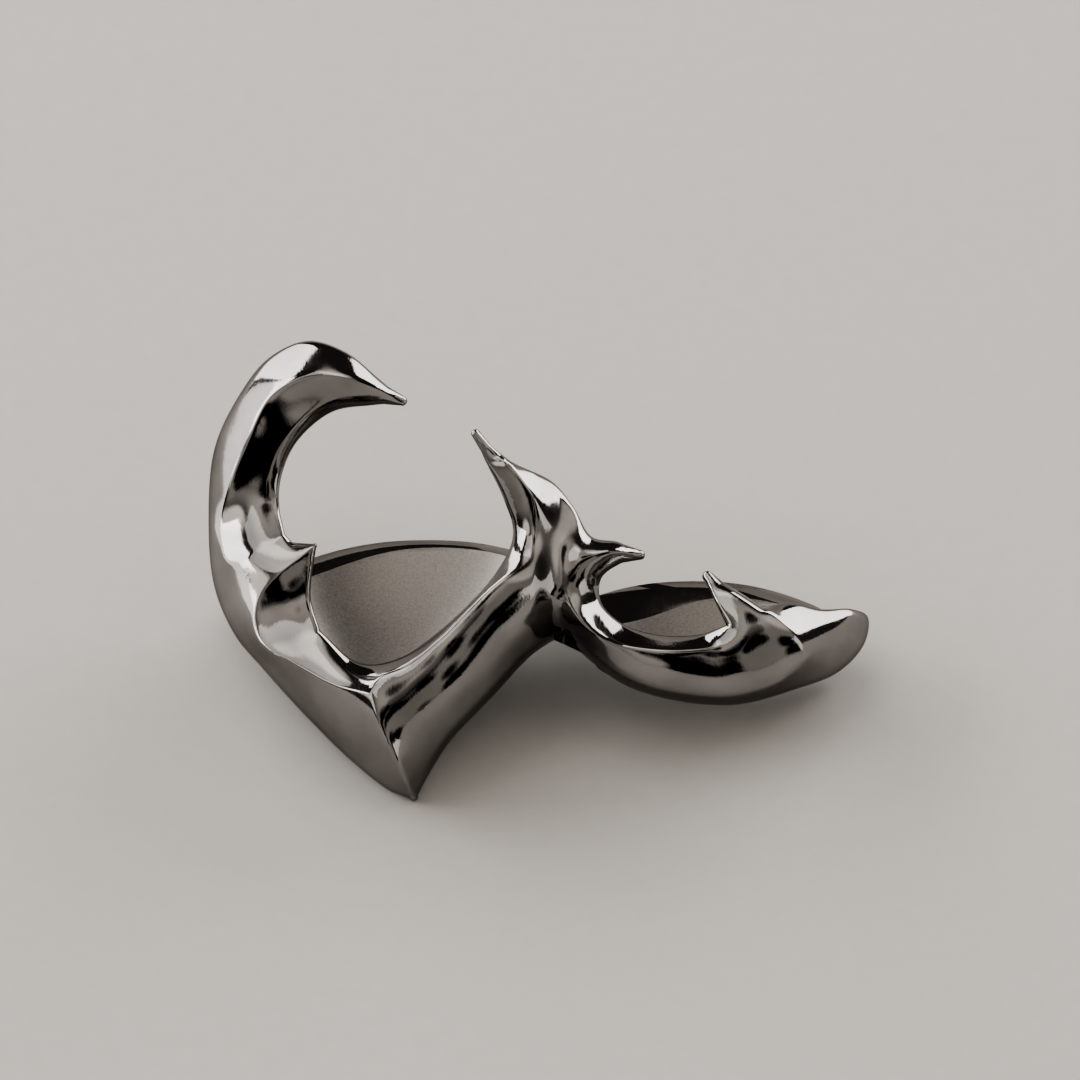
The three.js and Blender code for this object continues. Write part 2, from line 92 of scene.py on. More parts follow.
# The edge of the relief seen from the front, in stretches that run on from each other. Columns: x, z
# and height above the labial surface.
EDGES: dict[str, Rows] = {
    "hoop_outer": (
        ARM_TIP, (-4.14, 7.45, 0.35), (-5.0, 8.14, 0.35), (-5.91, 8.41, 0.35), (-6.86, 8.0, 0.6),
        (-7.59, 7.09, 0.85), (-8.18, 5.82, 1.0), (-8.32, 4.09, 1.05), (-8.18, 2.5, 0.95),
        (-7.68, 1.32, 0.7), (-6.95, 0.45, 0.3), (-5.86, -0.73, -0.1), (-4.77, -1.77, -0.05),
        (-3.86, -2.45, 0.0), FANG_TIP,
    ),
    "fang_mesial": (
        FANG_TIP, (-2.95, -2.0, 0.0), (-2.45, -1.23, -0.1), (-1.41, -0.14, -0.2),
        (-0.5, 0.82, -0.2), CROTCH,
    ),
    "lateral_lower": (
        CROTCH, (0.86, 0.73, -0.25), (1.77, 0.09, -0.3), (3.14, -0.3, -0.3), (4.5, -0.36, -0.3),
        (5.86, 0.0, -0.3), (6.91, 0.41, -0.3), (7.55, 1.09, -0.3), (7.64, 1.73, -0.3),
        (7.23, 1.93, 0.0), (6.5, 1.93, 0.3), (5.77, 2.09, 0.35), BULB_NOTCH,
    ),
    "lateral_thorn_upper": (BULB_NOTCH, (4.32, 2.45, 0.35), LATERAL_THORN_TIP),
    "lateral_thorn_lower": (LATERAL_THORN_TIP, (3.86, 2.23, 0.74), LATERAL_THORN_ROOT),
    "lateral_window": (
        LATERAL_THORN_ROOT, (3.5, 1.32, 0.48), (2.5, 1.32, 0.35), (1.68, 1.59, 0.35),
        (1.18, 2.09, 0.35), (1.18, 2.68, 0.35), (1.68, 3.05, 0.35), HOOK_TIP,
    ),
    "right_thorn_outer": (
        HOOK_TIP, (1.59, 3.55, 0.4), (0.95, 3.68, 0.4), (0.5, 4.41, 0.62), (0.0, 5.0, 0.68),
        (-1.0, 5.5, 0.55), RIGHT_THORN_TIP,
    ),
    "canine_window_mesial": (
        RIGHT_THORN_TIP, (-1.68, 5.64, 0.35), (-1.18, 4.59, 0.35), (-0.95, 3.73, 0.35),
        (-1.36, 2.82, 0.35), (-2.73, 1.41, 0.4), (-3.77, 0.73, 0.5), (-4.64, 0.64, 0.56),
        WINDOW_CORNER,
    ),
    "canine_window_lower": (WINDOW_CORNER, (-5.82, 2.23, 0.35), LEFT_THORN_TIP),
    "left_thorn_upper": (LEFT_THORN_TIP, (-6.18, 3.5, 0.35), WINDOW_SIDE),
    "canine_window_upper": (
        WINDOW_SIDE, (-6.59, 4.4, 0.2), (-6.55, 5.1, 0.12), (-6.18, 5.95, 0.12),
        (-5.32, 6.68, 0.12), (-4.36, 6.84, 0.2), ARM_TIP,
    ),
}

# The ridges and grooves of the relief, in the same columns.
RIDGES: dict[str, Rows] = {
    "hoop": (
        ARM_TIP, (-4.68, 7.45, 0.85), (-5.86, 7.55, 1.1), (-6.77, 7.09, 1.2), (-7.27, 6.14, 1.2),
        (-7.77, 4.95, 1.15), (-8.0, 3.91, 1.1), (-7.82, 3.05, 1.2), (-7.27, 3.23, 1.1), WINDOW_SIDE,
    ),
    "hoop_lip": (
        (-6.86, 4.75, 0.5), (-6.82, 5.16, 0.5), (-6.4, 6.11, 0.5), (-5.42, 6.93, 0.5),
        (-4.55, 7.08, 0.48), (-4.1, 7.05, 0.42),
    ),
    "left_thorn": (
        LEFT_THORN_TIP, (-6.5, 2.82, 0.9), (-7.05, 2.23, 1.15), (-7.18, 1.55, 1.25),
        (-6.95, 1.05, 1.3), THORN_FOOT, (-6.05, 0.86, 1.05), WINDOW_CORNER,
    ),
    "fang": (
        MEETING, (-0.55, 3.06, 1.25), (-1.64, 2.36, 1.2), (-2.73, 1.25, 1.15), (-3.5, 0.62, 1.2),
        (-4.14, 0.32, 1.35), FANG_CORNER, (-4.14, -0.8, 1.6), (-3.74, -1.62, 1.4),
        (-3.5, -2.15, 0.95), FANG_TIP,
    ),
    "fang_shoulder": (
        THORN_FOOT, (-5.9, 0.45, 1.2), (-5.2, 0.12, 1.25), FANG_CORNER,
    ),
    "fang_bevel": (
        CROTCH, (-0.12, 1.22, 0.45), (-0.59, 0.93, 0.46), (-1.51, -0.04, 0.44),
        (-2.55, -1.13, 0.42), (-3.07, -1.93, 0.34), (-3.2, -2.25, 0.28),
    ),
    "right_thorn": (
        RIGHT_THORN_TIP, (-1.23, 5.68, 0.75), (-0.68, 4.95, 1.0), (-0.16, 4.15, 1.15), MEETING,
    ),
    "crescent": (
        HOOK_TIP, (1.27, 3.32, 0.95), (0.64, 3.05, 1.2), (0.32, 2.36, 1.3), (0.64, 1.68, 1.3),
        (1.32, 1.18, 1.25), (2.23, 1.0, 1.2), (3.36, 0.98, 1.15), (4.0, 1.1, 1.05),
        LATERAL_THORN_ROOT,
    ),
    "lateral_thorn": (
        LATERAL_THORN_TIP, (4.5, 2.3, 0.85), (5.32, 1.82, 1.1), (5.86, 1.27, 1.15), CRESCENT_CORNER,
    ),
    "crescent_bevel": (
        CRESCENT_CORNER, (5.5, 0.22, 0.8), (5.0, 0.0, 0.72), (4.2, -0.17, 0.64), (3.2, -0.11, 0.68),
        (2.3, 0.08, 0.76), (1.55, 0.41, 0.82), (1.0, 0.83, 0.76), (0.66, 1.15, 0.6), CROTCH,
    ),
    "crotch_groove": (CROTCH, (0.18, 1.68, 0.7), (0.12, 2.0, 1.08), (0.1, 2.3, 1.27)),
}

# The radius of the nose on each spike that ends free.
NOSES: dict[tuple[float, float, float], float] = {
    ARM_TIP: 0.12,
    FANG_TIP: 0.12,
    LATERAL_THORN_TIP: 0.13,
    HOOK_TIP: 0.12,
    RIGHT_THORN_TIP: 0.11,
    LEFT_THORN_TIP: 0.06,
}

# The stretches of the edge that are rounded off more than the others, with the radius.
ROUNDED: dict[str, float] = {"hoop_outer": 0.13, "fang_mesial": 0.12, "lateral_lower": 0.16}

# A point inside each scoop, x and z: the fields that are hollowed instead of rounded.
SCOOPS: Rows = ((-6.9, 5.6), (-6.4, 1.6), (1.0, 1.9))

# Where the faces swell more or less than the rest. Columns: x, z, reach and the swell added, 1/mm.
SWELLS: Rows = ((6.7, 1.4, 1.0, 1.4), (-3.5, -1.6, 1.4, -1.2), (-7.2, 4.0, 0.8, 1.6))

# Where the relief is slimmer from front to back. Columns: x, z, reach and the share taken off.
SLIMMED: Rows = (
    (-3.5, 6.91, 3.4, 0.8),
    (-6.2, 8.3, 2.2, 0.45),
    (-1.91, 6.25, 3.2, 0.85),
    (0.3, 4.7, 1.6, 0.75),
    (-5.68, 3.5, 1.2, 0.6),
    (2.23, 3.23, 1.8, 0.75),
    (3.64, 2.82, 1.8, 0.75),
    (7.7, 1.5, 1.5, 0.5),
)

# Where ridges run softly into each other. Columns: x, z, reach and the rounding added there.
BLENDS: Rows = (
    (0.12, 3.3, 1.5, 0.32),
    (4.15, 1.4, 0.6, 0.12),
    (-6.86, 4.75, 0.6, 0.16),
    (-1.65, 6.0, 0.7, 0.16),
    (3.8, 2.7, 0.6, 0.12),
)

# The hollows of the two caps, and the metal below each. Columns: z, x of the middle, half width,
# distance behind the labial surface and thickness from front to back.
CANINE_HOLLOW: Rows = (
    (-0.3, -4.1, 0.45, 0.75, 0.8),
    (0.6, -4.15, 1.8, 0.35, 2.2),
    (2.0, -4.2, 3.1, 0.1, 3.8),
    (4.0, -4.2, 3.8, 0.0, 5.4),
    (6.0, -4.2, 3.6, 0.0, 6.6),
    (8.0, -4.2, 3.2, 0.0, 7.2),
    (10.5, -4.2, 2.9, 0.1, 7.2),
)
LATERAL_HOLLOW: Rows = (
    (0.45, 3.75, 1.9, 0.35, 0.9),
    (0.9, 3.75, 2.25, 0.15, 1.5),
    (2.2, 3.45, 3.3, 0.0, 2.6),
    (4.0, 3.45, 3.35, 0.0, 3.9),
    (6.0, 3.45, 2.9, 0.0, 5.1),
    (8.0, 3.45, 2.5, 0.0, 5.6),
    (10.5, 3.45, 2.3, 0.1, 5.6),
)
FANG_CORE: Rows = (
    (-2.5, -3.34, 0.1, -0.1, 0.2),
    (-1.6, -3.55, 0.7, 0.0, 1.0),
    (-0.6, -3.95, 1.6, 0.0, 1.9),
)
LATERAL_SOLE: Rows = ((-0.12, 3.95, 1.3, 0.2, 0.8),)


class Joining(Enum):
    """How one solid is put together with another."""

    ADD = "UNION"
    CUT = "DIFFERENCE"


def linear(hex_colour: str) -> tuple[float, float, float, float]:
    """Turns an sRGB hex colour to linear values.

    Args:
        hex_colour: The colour, such as "#E6E2DD".

    Returns:
        Red, green, blue and full opacity.
    """
    parts = [int(hex_colour[i : i + 2], 16) / 255 for i in (1, 3, 5)]
    red, green, blue = (c / 12.92 if c <= 0.04045 else ((c + 0.055) / 1.055) ** 2.4 for c in parts)
    return red, green, blue, 1.0


def set_inputs(tree: bpy.types.NodeTree, node: bpy.types.Node, inputs: Inputs) -> None:
    """Sets the inputs of a node.

    Args:
        tree: The tree that holds the node.
        node: The node.
        inputs: What each input takes, by its name or number: a value, or one or a list of links. A link
            is the name of a node with the name of its output.
    """
    for key, value in inputs.items():
        for item in value if isinstance(value, list) else [value]:
            if isinstance(item, tuple) and isinstance(item[0], str):
                tree.links.new(tree.nodes[item[0]].outputs[item[1]], node.inputs[key])
            else:
                node.inputs[key].default_value = item


def add_node(
    tree: bpy.types.NodeTree, name: str, kind: str, settings: dict[str, object], inputs: Inputs
) -> None:
    """Adds a node with its settings and links.

    Args:
        tree: The tree that takes the node.
        name: The name that links to the node go by.
        kind: Blender's name for the kind of node.
        settings: The node's properties, by name.
        inputs: What its inputs take.
    """
    node = tree.nodes.new(kind)
    node.name = name
    for key, value in settings.items():
        setattr(node, key, value)
    set_inputs(tree, node, inputs)


def new_material(
    name: str, rows: NodeRows, stops: Iterable[tuple[float, str]], look: Inputs
) -> bpy.types.Material:
    """Makes a material out of a table of nodes.

    Args:
        name: The material's name.
        rows: The nodes by name, of which colour is a ramp and normal a bump.
        stops: The place and the colour of each stop of the ramp.
        look: What the shader takes besides the colour and the normal.

    Returns:
        The material.
    """
    material = bpy.data.materials.new(name)
    material.use_nodes = True
    tree = material.node_tree
    add_node(tree, "place", "ShaderNodeTexCoord", {}, {})
    for node, row in rows.items():
        add_node(tree, node, *row)
    for stop, (place, colour) in zip(tree.nodes["colour"].color_ramp.elements, stops):
        stop.position = place
        stop.color = linear(colour)
    shared = {"Base Color": ("colour", "Color"), "Normal": ("normal", "Normal")}
    set_inputs(tree, tree.nodes["Principled BSDF"], {**shared, **look})
    return material


def apply_modifier(piece: bpy.types.Object, modifier: bpy.types.Modifier) -> None:
    """Gives an object the plain mesh that its modifier makes, and takes the modifier off.

    Args:
        piece: The object.
        modifier: Its only modifier.
    """
    graph = bpy.context.evaluated_depsgraph_get()
    mesh = bpy.data.meshes.new_from_object(piece.evaluated_get(graph), depsgraph=graph)
    piece.modifiers.remove(modifier)
    piece.data = mesh


def mesh_object(name: str, points: np.ndarray, faces: Iterable[Sequence[int]]) -> bpy.types.Object:
    """Makes an object of points and faces and puts it in the scene.

    Args:
        name: The object's name.
        points: Its points, a row each.
        faces: The points of each face, anticlockwise from outside.

    Returns:
        The new object.
    """
    mesh = bpy.data.meshes.new(name)
    mesh.from_pydata(points.tolist(), [], [list(map(int, face)) for face in faces])
    piece = bpy.data.objects.new(name, mesh)
    bpy.context.scene.collection.objects.link(piece)
    return piece


def smoothstep(share: np.ndarray) -> np.ndarray:
    """Eases from 0 to 1 as the share goes from 0 to 1, and stays level outside."""
    inside = np.clip(share, 0, 1)
    return inside * inside * (3 - 2 * inside)


def curve(
    start: np.ndarray, end: np.ndarray, leaving: np.ndarray, arriving: np.ndarray, share: np.ndarray
) -> np.ndarray:
    """Points on a cubic curve.

    Args:
        start: Where it starts.
        end: Where it ends.
        leaving: Its slope at the start, for the whole way.
        arriving: Its slope at the end, for the whole way.
        share: The shares of the way that are wanted.

    Returns:
        The point at each share.
    """
    whole = end - start
    square = 3 * whole - 2 * leaving - arriving
    return start + leaving * share + square * share**2 + (leaving + arriving - 2 * whole) * share**3


def smooth_line(rows: Rows, step: float) -> np.ndarray:
    """Even points on a smooth curve through the rows of a table.

    Args:
        rows: The points to pass through, three numbers each.
        step: The distance between points on the curve.

    Returns:
        The points, a row each.
    """
    knots = np.array(rows, dtype=float)
    through = np.vstack([2 * knots[0] - knots[1], knots, 2 * knots[-1] - knots[-2]])
    gaps = np.sqrt(np.linalg.norm(np.diff(through, axis=0), axis=1))
    share = np.linspace(0, 1, CURVE_PARTS, endpoint=False)[:, None]
    pieces = []
    for i in range(1, len(through) - 2):
        before, start, end, after = through[i - 1 : i + 3]
        gap_before, gap, gap_after = gaps[i - 1 : i + 2]
        whole = end - start
        leaving = whole + gap * ((start - before) / gap_before - (end - before) / (gap_before + gap))
        arriving = whole + gap * ((after - end) / gap_after - (after - start) / (gap + gap_after))
        pieces.append(curve(start, end, leaving, arriving, share))
    dense = np.vstack([*pieces, knots[-1:]])
    run = np.concatenate([[0.0], np.cumsum(np.linalg.norm(np.diff(dense, axis=0), axis=1))])
    places = np.linspace(0, run[-1], max(2, round(run[-1] / step)) + 1)
    line = np.column_stack([np.interp(places, run, column) for column in dense.T])
    line[0], line[-1] = knots[0], knots[-1]
    return line


def dense_loop(outline: np.ndarray) -> np.ndarray:
    """Adds points between those of a closed outline, so that distances to it come out even."""
    ahead = np.roll(outline, -1, axis=0)
    return np.vstack([outline + (ahead - outline) * share for share in (0.0, 0.2, 0.4, 0.6, 0.8)])


def leftward(steps: np.ndarray) -> np.ndarray:
    """Unit vectors to the left of some steps in the plan."""
    aside = np.column_stack([-steps[:, 1], steps[:, 0]])
    return aside / np.linalg.norm(aside, axis=1)[:, None]


def inside_outline(outline: np.ndarray, places: np.ndarray) -> np.ndarray:
    """Tells which places lie inside a closed outline.

    Args:
        outline: The outline's points, x and z first.
        places: The places to test, x and z first.

    Returns:
        True for each place inside.
    """
    inside = np.zeros(len(places), dtype=bool)
    x, z = places[:, 0], places[:, 1]
    for a, b in zip(outline, np.roll(outline, -1, axis=0)):
        if a[1] == b[1]:
            continue
        crosses = (a[1] > z) != (b[1] > z)
        inside ^= crosses & (x < a[0] + (z - a[1]) / (b[1] - a[1]) * (b[0] - a[0]))
    return inside


def nearest(line: np.ndarray, places: np.ndarray) -> tuple[np.ndarray, np.ndarray]:
    """Finds the point of a line that is nearest to each place.

    Args:
        line: The line's points, x and z first.
        places: The places, x and z first.

    Returns:
        The number of the nearest point for each place, and its distance.
    """
    tree = KDTree(len(line))
    for i, point in enumerate(line):
        tree.insert((point[0], point[1], 0.0), i)
    tree.balance()
    found = [tree.find((place[0], place[1], 0.0)) for place in places]
    return np.array([item[1] for item in found], dtype=int), np.array([item[2] for item in found])


def distances(line: np.ndarray, places: np.ndarray) -> np.ndarray:
    """Distance of each place from the points of a line, both as x and z first."""
    return nearest(line, places)[1]


def gathered(rows: Rows, places: np.ndarray) -> np.ndarray:
    """Adds up what the rows of a table give at some places, fading out over the reach of each row.

    Args:
        rows: x, z, reach and amount of each row.
        places: x and z of each place.

    Returns:
        The sum at each place.
    """
    total = np.zeros(len(places))
    for x, z, reach, amount in rows:
        apart = np.linalg.norm(places - np.array((x, z)), axis=1)
        total += amount * smoothstep(1 - apart / reach)
    return total


def rounded_off(radius: float | np.ndarray, from_edge: np.ndarray) -> np.ndarray:
    """How much a round edge takes off the height at each distance from it."""
    bite = np.clip(radius - from_edge, 0, radius)
    return radius - np.sqrt(radius**2 - bite**2)


@dataclass(frozen=True)
class CapFront:
    """The front of one cap in plan: its foremost point, the slope there and the radius, in mm."""

    x: float
    y: float
    slope: float
    radius: float

    def depth(self, x: np.ndarray) -> np.ndarray:
        """Depth of the front at places across the cap."""
        across = x - self.x
        return self.y + self.slope * across + across**2 / (2 * self.radius)


@dataclass(frozen=True)
class LabialSurface:
    """The plain surface across both caps that the relief lies on. It leans back. Sizes in mm.

    Attributes:
        canine: The front of the canine cap in plan.
        lateral: The front of the lateral cap in plan.
        embrasure: From where to where across the one runs into the other.
        lean: How far it leans back for each mm up.
        middle: The height where the lean is just that.
        radius: The radius of its curve from top to bottom.
    """

    canine: CapFront = CapFront(-4.2, -2.9, -0.2, 4.8)
    lateral: CapFront = CapFront(3.45, -2.5, 0.0, 7.0)
    embrasure: tuple[float, float] = (-0.5, 0.7)
    lean: float = 0.12
    middle: float = 3.0
    radius: float = 40.0

    def depth(self, x: np.ndarray, z: np.ndarray) -> np.ndarray:
        """Depth of the surface at some places.

        Args:
            x: Places across it.
            z: Places up it.

        Returns:
            The depth at each place.
        """
        blend = smoothstep((x - self.embrasure[0]) / (self.embrasure[1] - self.embrasure[0]))
        across = self.canine.depth(x) * (1 - blend) + self.lateral.depth(x) * blend
        up = z - self.middle
        return across + self.lean * up + up**2 / (2 * self.radius)


@dataclass(frozen=True)
class PolishedSilver:
    """Cast sterling silver, tumbled and then polished by hand on a felt wheel.

    It reflects like a mirror of a neutral grey, darker than new silver, and brighter where it is seen
    at a low angle. The hairlines that the wheel leaves and faint clouds of tarnish break the mirror up.

    Attributes:
        bright: The colour of the clean metal.
        dull: The colour under the clouds.
        rim: The tint of what is seen at a low angle.
        cloud_span: The values of the clouds where the metal is dull and where it is bright.
        sheen_span: The values of clouds times hairlines that the roughness follows.
        roughness: The roughness at both ends of that span.
        cloud_mm: The size of a cloud.
        hairline_mm: How far hairlines are apart. Real ones are too fine to show, so these are coarser.
        hairline_depth_mm: How deep they are.
        wheel_turn: The turn of the hairlines, radians.
        wheel_stretch: The stretch of the pattern that makes lines of its spots.
    """

    bright: str = "#939190"
    dull: str = "#7F7D7C"
    rim: str = "#B4B2B1"
    cloud_span: tuple[float, float] = (0.3, 0.62)
    sheen_span: tuple[float, float] = (0.15, 0.4)
    roughness: tuple[float, float] = (0.05, 0.13)
    cloud_mm: float = 1.6
    hairline_mm: float = 0.045
    hairline_depth_mm: float = 0.0009
    wheel_turn: tuple[float, float, float] = (0.5, 0.3, 0.7)
    wheel_stretch: tuple[float, float, float] = (1.0, 0.07, 1.0)

    def build(self) -> bpy.types.Material:
        """Makes the material.

        Returns:
            Polished silver.
        """
        place, wheel = ("place", "Object"), ("wheel", "Vector")
        clouds, hairlines = ("clouds", "Fac"), ("hairlines", "Fac")
        per_cloud, per_hairline = (1 / (size * METRES) for size in (self.cloud_mm, self.hairline_mm))
        turned = {"Vector": place, "Rotation": self.wheel_turn, "Scale": self.wheel_stretch}
        sheen = {
            "Value": ("sheen", "Value"),
            "From Min": self.sheen_span[0],
            "From Max": self.sheen_span[1],
            "To Min": self.roughness[0],
            "To Max": self.roughness[1],
        }
        lines = {"Vector": wheel, "Scale": per_hairline, "Detail": 2.0}
        scratched = {"Height": hairlines, "Strength": 1.0, "Distance": self.hairline_depth_mm * METRES}
        rows: NodeRows = {
            "clouds": ("ShaderNodeTexNoise", {}, {"Vector": place, "Scale": per_cloud, "Detail": 3.0}),
            "colour": ("ShaderNodeValToRGB", {}, {"Fac": clouds}),
            "wheel": ("ShaderNodeMapping", {}, turned),
            "hairlines": ("ShaderNodeTexNoise", {}, lines),
            "sheen": ("ShaderNodeMath", {"operation": "MULTIPLY"}, {0: clouds, 1: hairlines}),
            "roughness": ("ShaderNodeMapRange", {}, sheen),
            "normal": ("ShaderNodeBump", {}, scratched),
        }
        stops = zip(self.cloud_span, (self.dull, self.bright))
        look = {"Metallic": 1.0, "Specular Tint": linear(self.rim), "Roughness": ("roughness", "Result")}
        return new_material("polished_sterling_silver", rows, stops, look)


@dataclass(frozen=True)
class AsCastSilver:
    """Cast sterling silver that is only brushed, as inside the hollows.

    The fine grain of the mould scatters the light, so it looks satin; its tone, a little darker than the
    polish, is painted shade for the hollows.

    Attributes:
        bright: The colour on the grains.
        dull: The colour between them.
        grain_span: The values of the grain that the colour and the roughness follow.
        roughness: The roughness at both ends of that span.
        grain_mm: The size of a grain.
        grain_depth_mm: How far it stands out.
    """

    # Both colours are darker than the polish: painted shade inside the hollows. The spread between them
    # is the real grain.
    bright: str = "#7E7B77"
    dull: str = "#6B6864"
    grain_span: tuple[float, float] = (0.3, 0.7)
    roughness: tuple[float, float] = (0.36, 0.46)
    grain_mm: float = 0.05
    grain_depth_mm: float = 0.0016

    def build(self) -> bpy.types.Material:
        """Makes the material.

        Returns:
            As-cast silver.
        """
        place, grain = ("place", "Object"), ("grain", "Fac")
        per_grain = 1 / (self.grain_mm * METRES)
        satin = {
            "Value": grain,
            "From Min": self.grain_span[0],
            "From Max": self.grain_span[1],
            "To Min": self.roughness[0],
            "To Max": self.roughness[1],
        }
        grained = {"Height": grain, "Strength": 1.0, "Distance": self.grain_depth_mm * METRES}
        rows: NodeRows = {
            "grain": ("ShaderNodeTexNoise", {}, {"Vector": place, "Scale": per_grain, "Detail": 4.0}),
            "colour": ("ShaderNodeValToRGB", {}, {"Fac": grain}),
            "roughness": ("ShaderNodeMapRange", {}, satin),
            "normal": ("ShaderNodeBump", {}, grained),
        }
        stops = zip(self.grain_span, (self.dull, self.bright))
        look = {"Metallic": 1.0, "Roughness": ("roughness", "Result")}
        return new_material("as_cast_sterling_silver", rows, stops, look)


@dataclass(frozen=True)
class MattPaper:
    """Uncoated white paper: matt, with a faint cloudiness and the fine relief of its fibres.

    Attributes:
        light: The colour on the clumps of fibre.
        shade: The colour between them.
        roughness: The roughness all over.
        fibre_mm: The size of a clump.
        fibre_depth_mm: How far it stands out.
        fibre_show: The share of that relief that the light picks up.
    """

    light: str = "#C6C4C1"
    shade: str = "#BFBDBA"
    roughness: float = 0.8
    fibre_mm: float = 0.5
    fibre_depth_mm: float = 0.01
    fibre_show: float = 0.4

    def build(self) -> bpy.types.Material:
        """Makes the material.

        Returns:
            Matt paper.
        """
        place, fibres = ("place", "Object"), ("fibres", "Fac")
        per_fibre, depth = 1 / (self.fibre_mm * METRES), self.fibre_depth_mm * METRES
        felt = {"Height": fibres, "Strength": self.fibre_show, "Distance": depth}
        rows: NodeRows = {
            "fibres": ("ShaderNodeTexNoise", {}, {"Vector": place, "Scale": per_fibre, "Detail": 3.0}),
            "colour": ("ShaderNodeValToRGB", {}, {"Fac": fibres}),
            "normal": ("ShaderNodeBump", {}, felt),
        }
        stops = ((0.0, self.shade), (1.0, self.light))
        return new_material("matt_white_paper", rows, stops, {"Roughness": self.roughness})


@dataclass
class Film:
    """A flat mesh whose heights are a film stretched over its fixed points.

    Attributes:
        points: x and z of each point.
        heights: The height of each point, set for the fixed ones.
        fixed: True where the height stays.
        triangles: The points of each triangle.
        ends: The two points of each edge, once for each triangle on it.
        pulls: The pull along each edge.
        areas: The area that each point carries.
    """

    points: np.ndarray
    heights: np.ndarray
    fixed: np.ndarray
    triangles: np.ndarray
    ends: np.ndarray = field(init=False)
    pulls: np.ndarray = field(init=False)
    areas: np.ndarray = field(init=False)

    def __post_init__(self) -> None:
        """Works out the pull along each edge and the area that each point carries."""
        self.areas = np.zeros(len(self.points))
        ends, pulls = [], []
        for turn in range(3):
            tip, a, b = (self.triangles[:, (turn + k) % 3] for k in range(3))
            u = self.points[a] - self.points[tip]
            v = self.points[b] - self.points[tip]
            twice_area = u[:, 0] * v[:, 1] - u[:, 1] * v[:, 0]
            pulls.append((u * v).sum(axis=1) / twice_area / 2)
            ends.append(np.column_stack([a, b]))
            np.add.at(self.areas, tip, twice_area / 6)
        self.ends = np.vstack(ends)
        self.pulls = np.clip(np.concatenate(pulls), 0, None)

    def pulled(self, values: np.ndarray) -> np.ndarray:
        """Adds up how hard the neighbours of each point pull on it.

        Args:
            values: A value at each point.

        Returns:
            The sum over its neighbours of the pull times the difference in value.
        """
        a, b = self.ends.T
        flow = self.pulls * (values[a] - values[b])
        return np.bincount(a, flow, len(values)) - np.bincount(b, flow, len(values))

    def total_pull(self) -> np.ndarray:
        """Sum of the pulls at each point."""
        count = len(self.points)
        return sum(np.bincount(end, self.pulls, count) for end in self.ends.T)

    def field_round(self, place: Sequence[float]) -> np.ndarray:
        """Finds the free points joined to a place without crossing a fixed line.

        Args:
            place: x and z of a point in the field.

        Returns:
            True for each point of the field.
        """
        apart = np.linalg.norm(self.points - np.array(place), axis=1)
        apart[self.fixed] = np.inf
        found = np.zeros(len(self.points), dtype=bool)
        found[np.argmin(apart)] = True
        count = 0
        while count != found.sum():
            count = found.sum()
            for a, b in (self.ends.T, self.ends.T[::-1]):
                found[b[found[a]]] = True
                found &= ~self.fixed
        return found

    def settle(
        self,
        load: np.ndarray,
        held: np.ndarray,
        ground: float | np.ndarray = 0.0,
        rounds: int = 4000,
        enough: float = 1e-10,
    ) -> None:
        """Solves the heights under a load by conjugate gradients.

        Args:
            load: The push on each point.
            held: True where the height stays.
            ground: How firmly each point is drawn to height zero, for its area.
            rounds: The most rounds that it takes.
            enough: The push left over that counts as none.
        """
        mass = ground * self.areas
        total = self.total_pull()
        scale = np.where(total > 0, total + mass, 1.0)
        rest = np.where(held, 0.0, load - mass * self.heights - self.pulled(self.heights))
        ready = rest / scale
        way = ready.copy()
        power = rest @ ready
        for _ in range(rounds):
            push = np.where(held, 0.0, mass * way + self.pulled(way))
            length = power / (way @ push)
            self.heights = self.heights + length * way
            rest = rest - length * push
            if np.abs(rest).max() < enough:
                break
            ready = rest / scale
            power, last = rest @ ready, power
            way = ready + power / last * way

    def stretch(self, swell: np.ndarray) -> None:
        """Stretches the film over its fixed points, pushed outwards by the swell, 1/mm."""
        self.settle(swell * self.areas, self.fixed)

    def melt(self, reach: np.ndarray, held: np.ndarray) -> None:
        """Rounds the ridges and grooves.

        Args:
            reach: How far the rounding spreads at each point, mm.
            held: True where the height stays.
        """
        ground = 2 / reach**2
        self.settle(ground * self.areas * self.heights, held, ground)


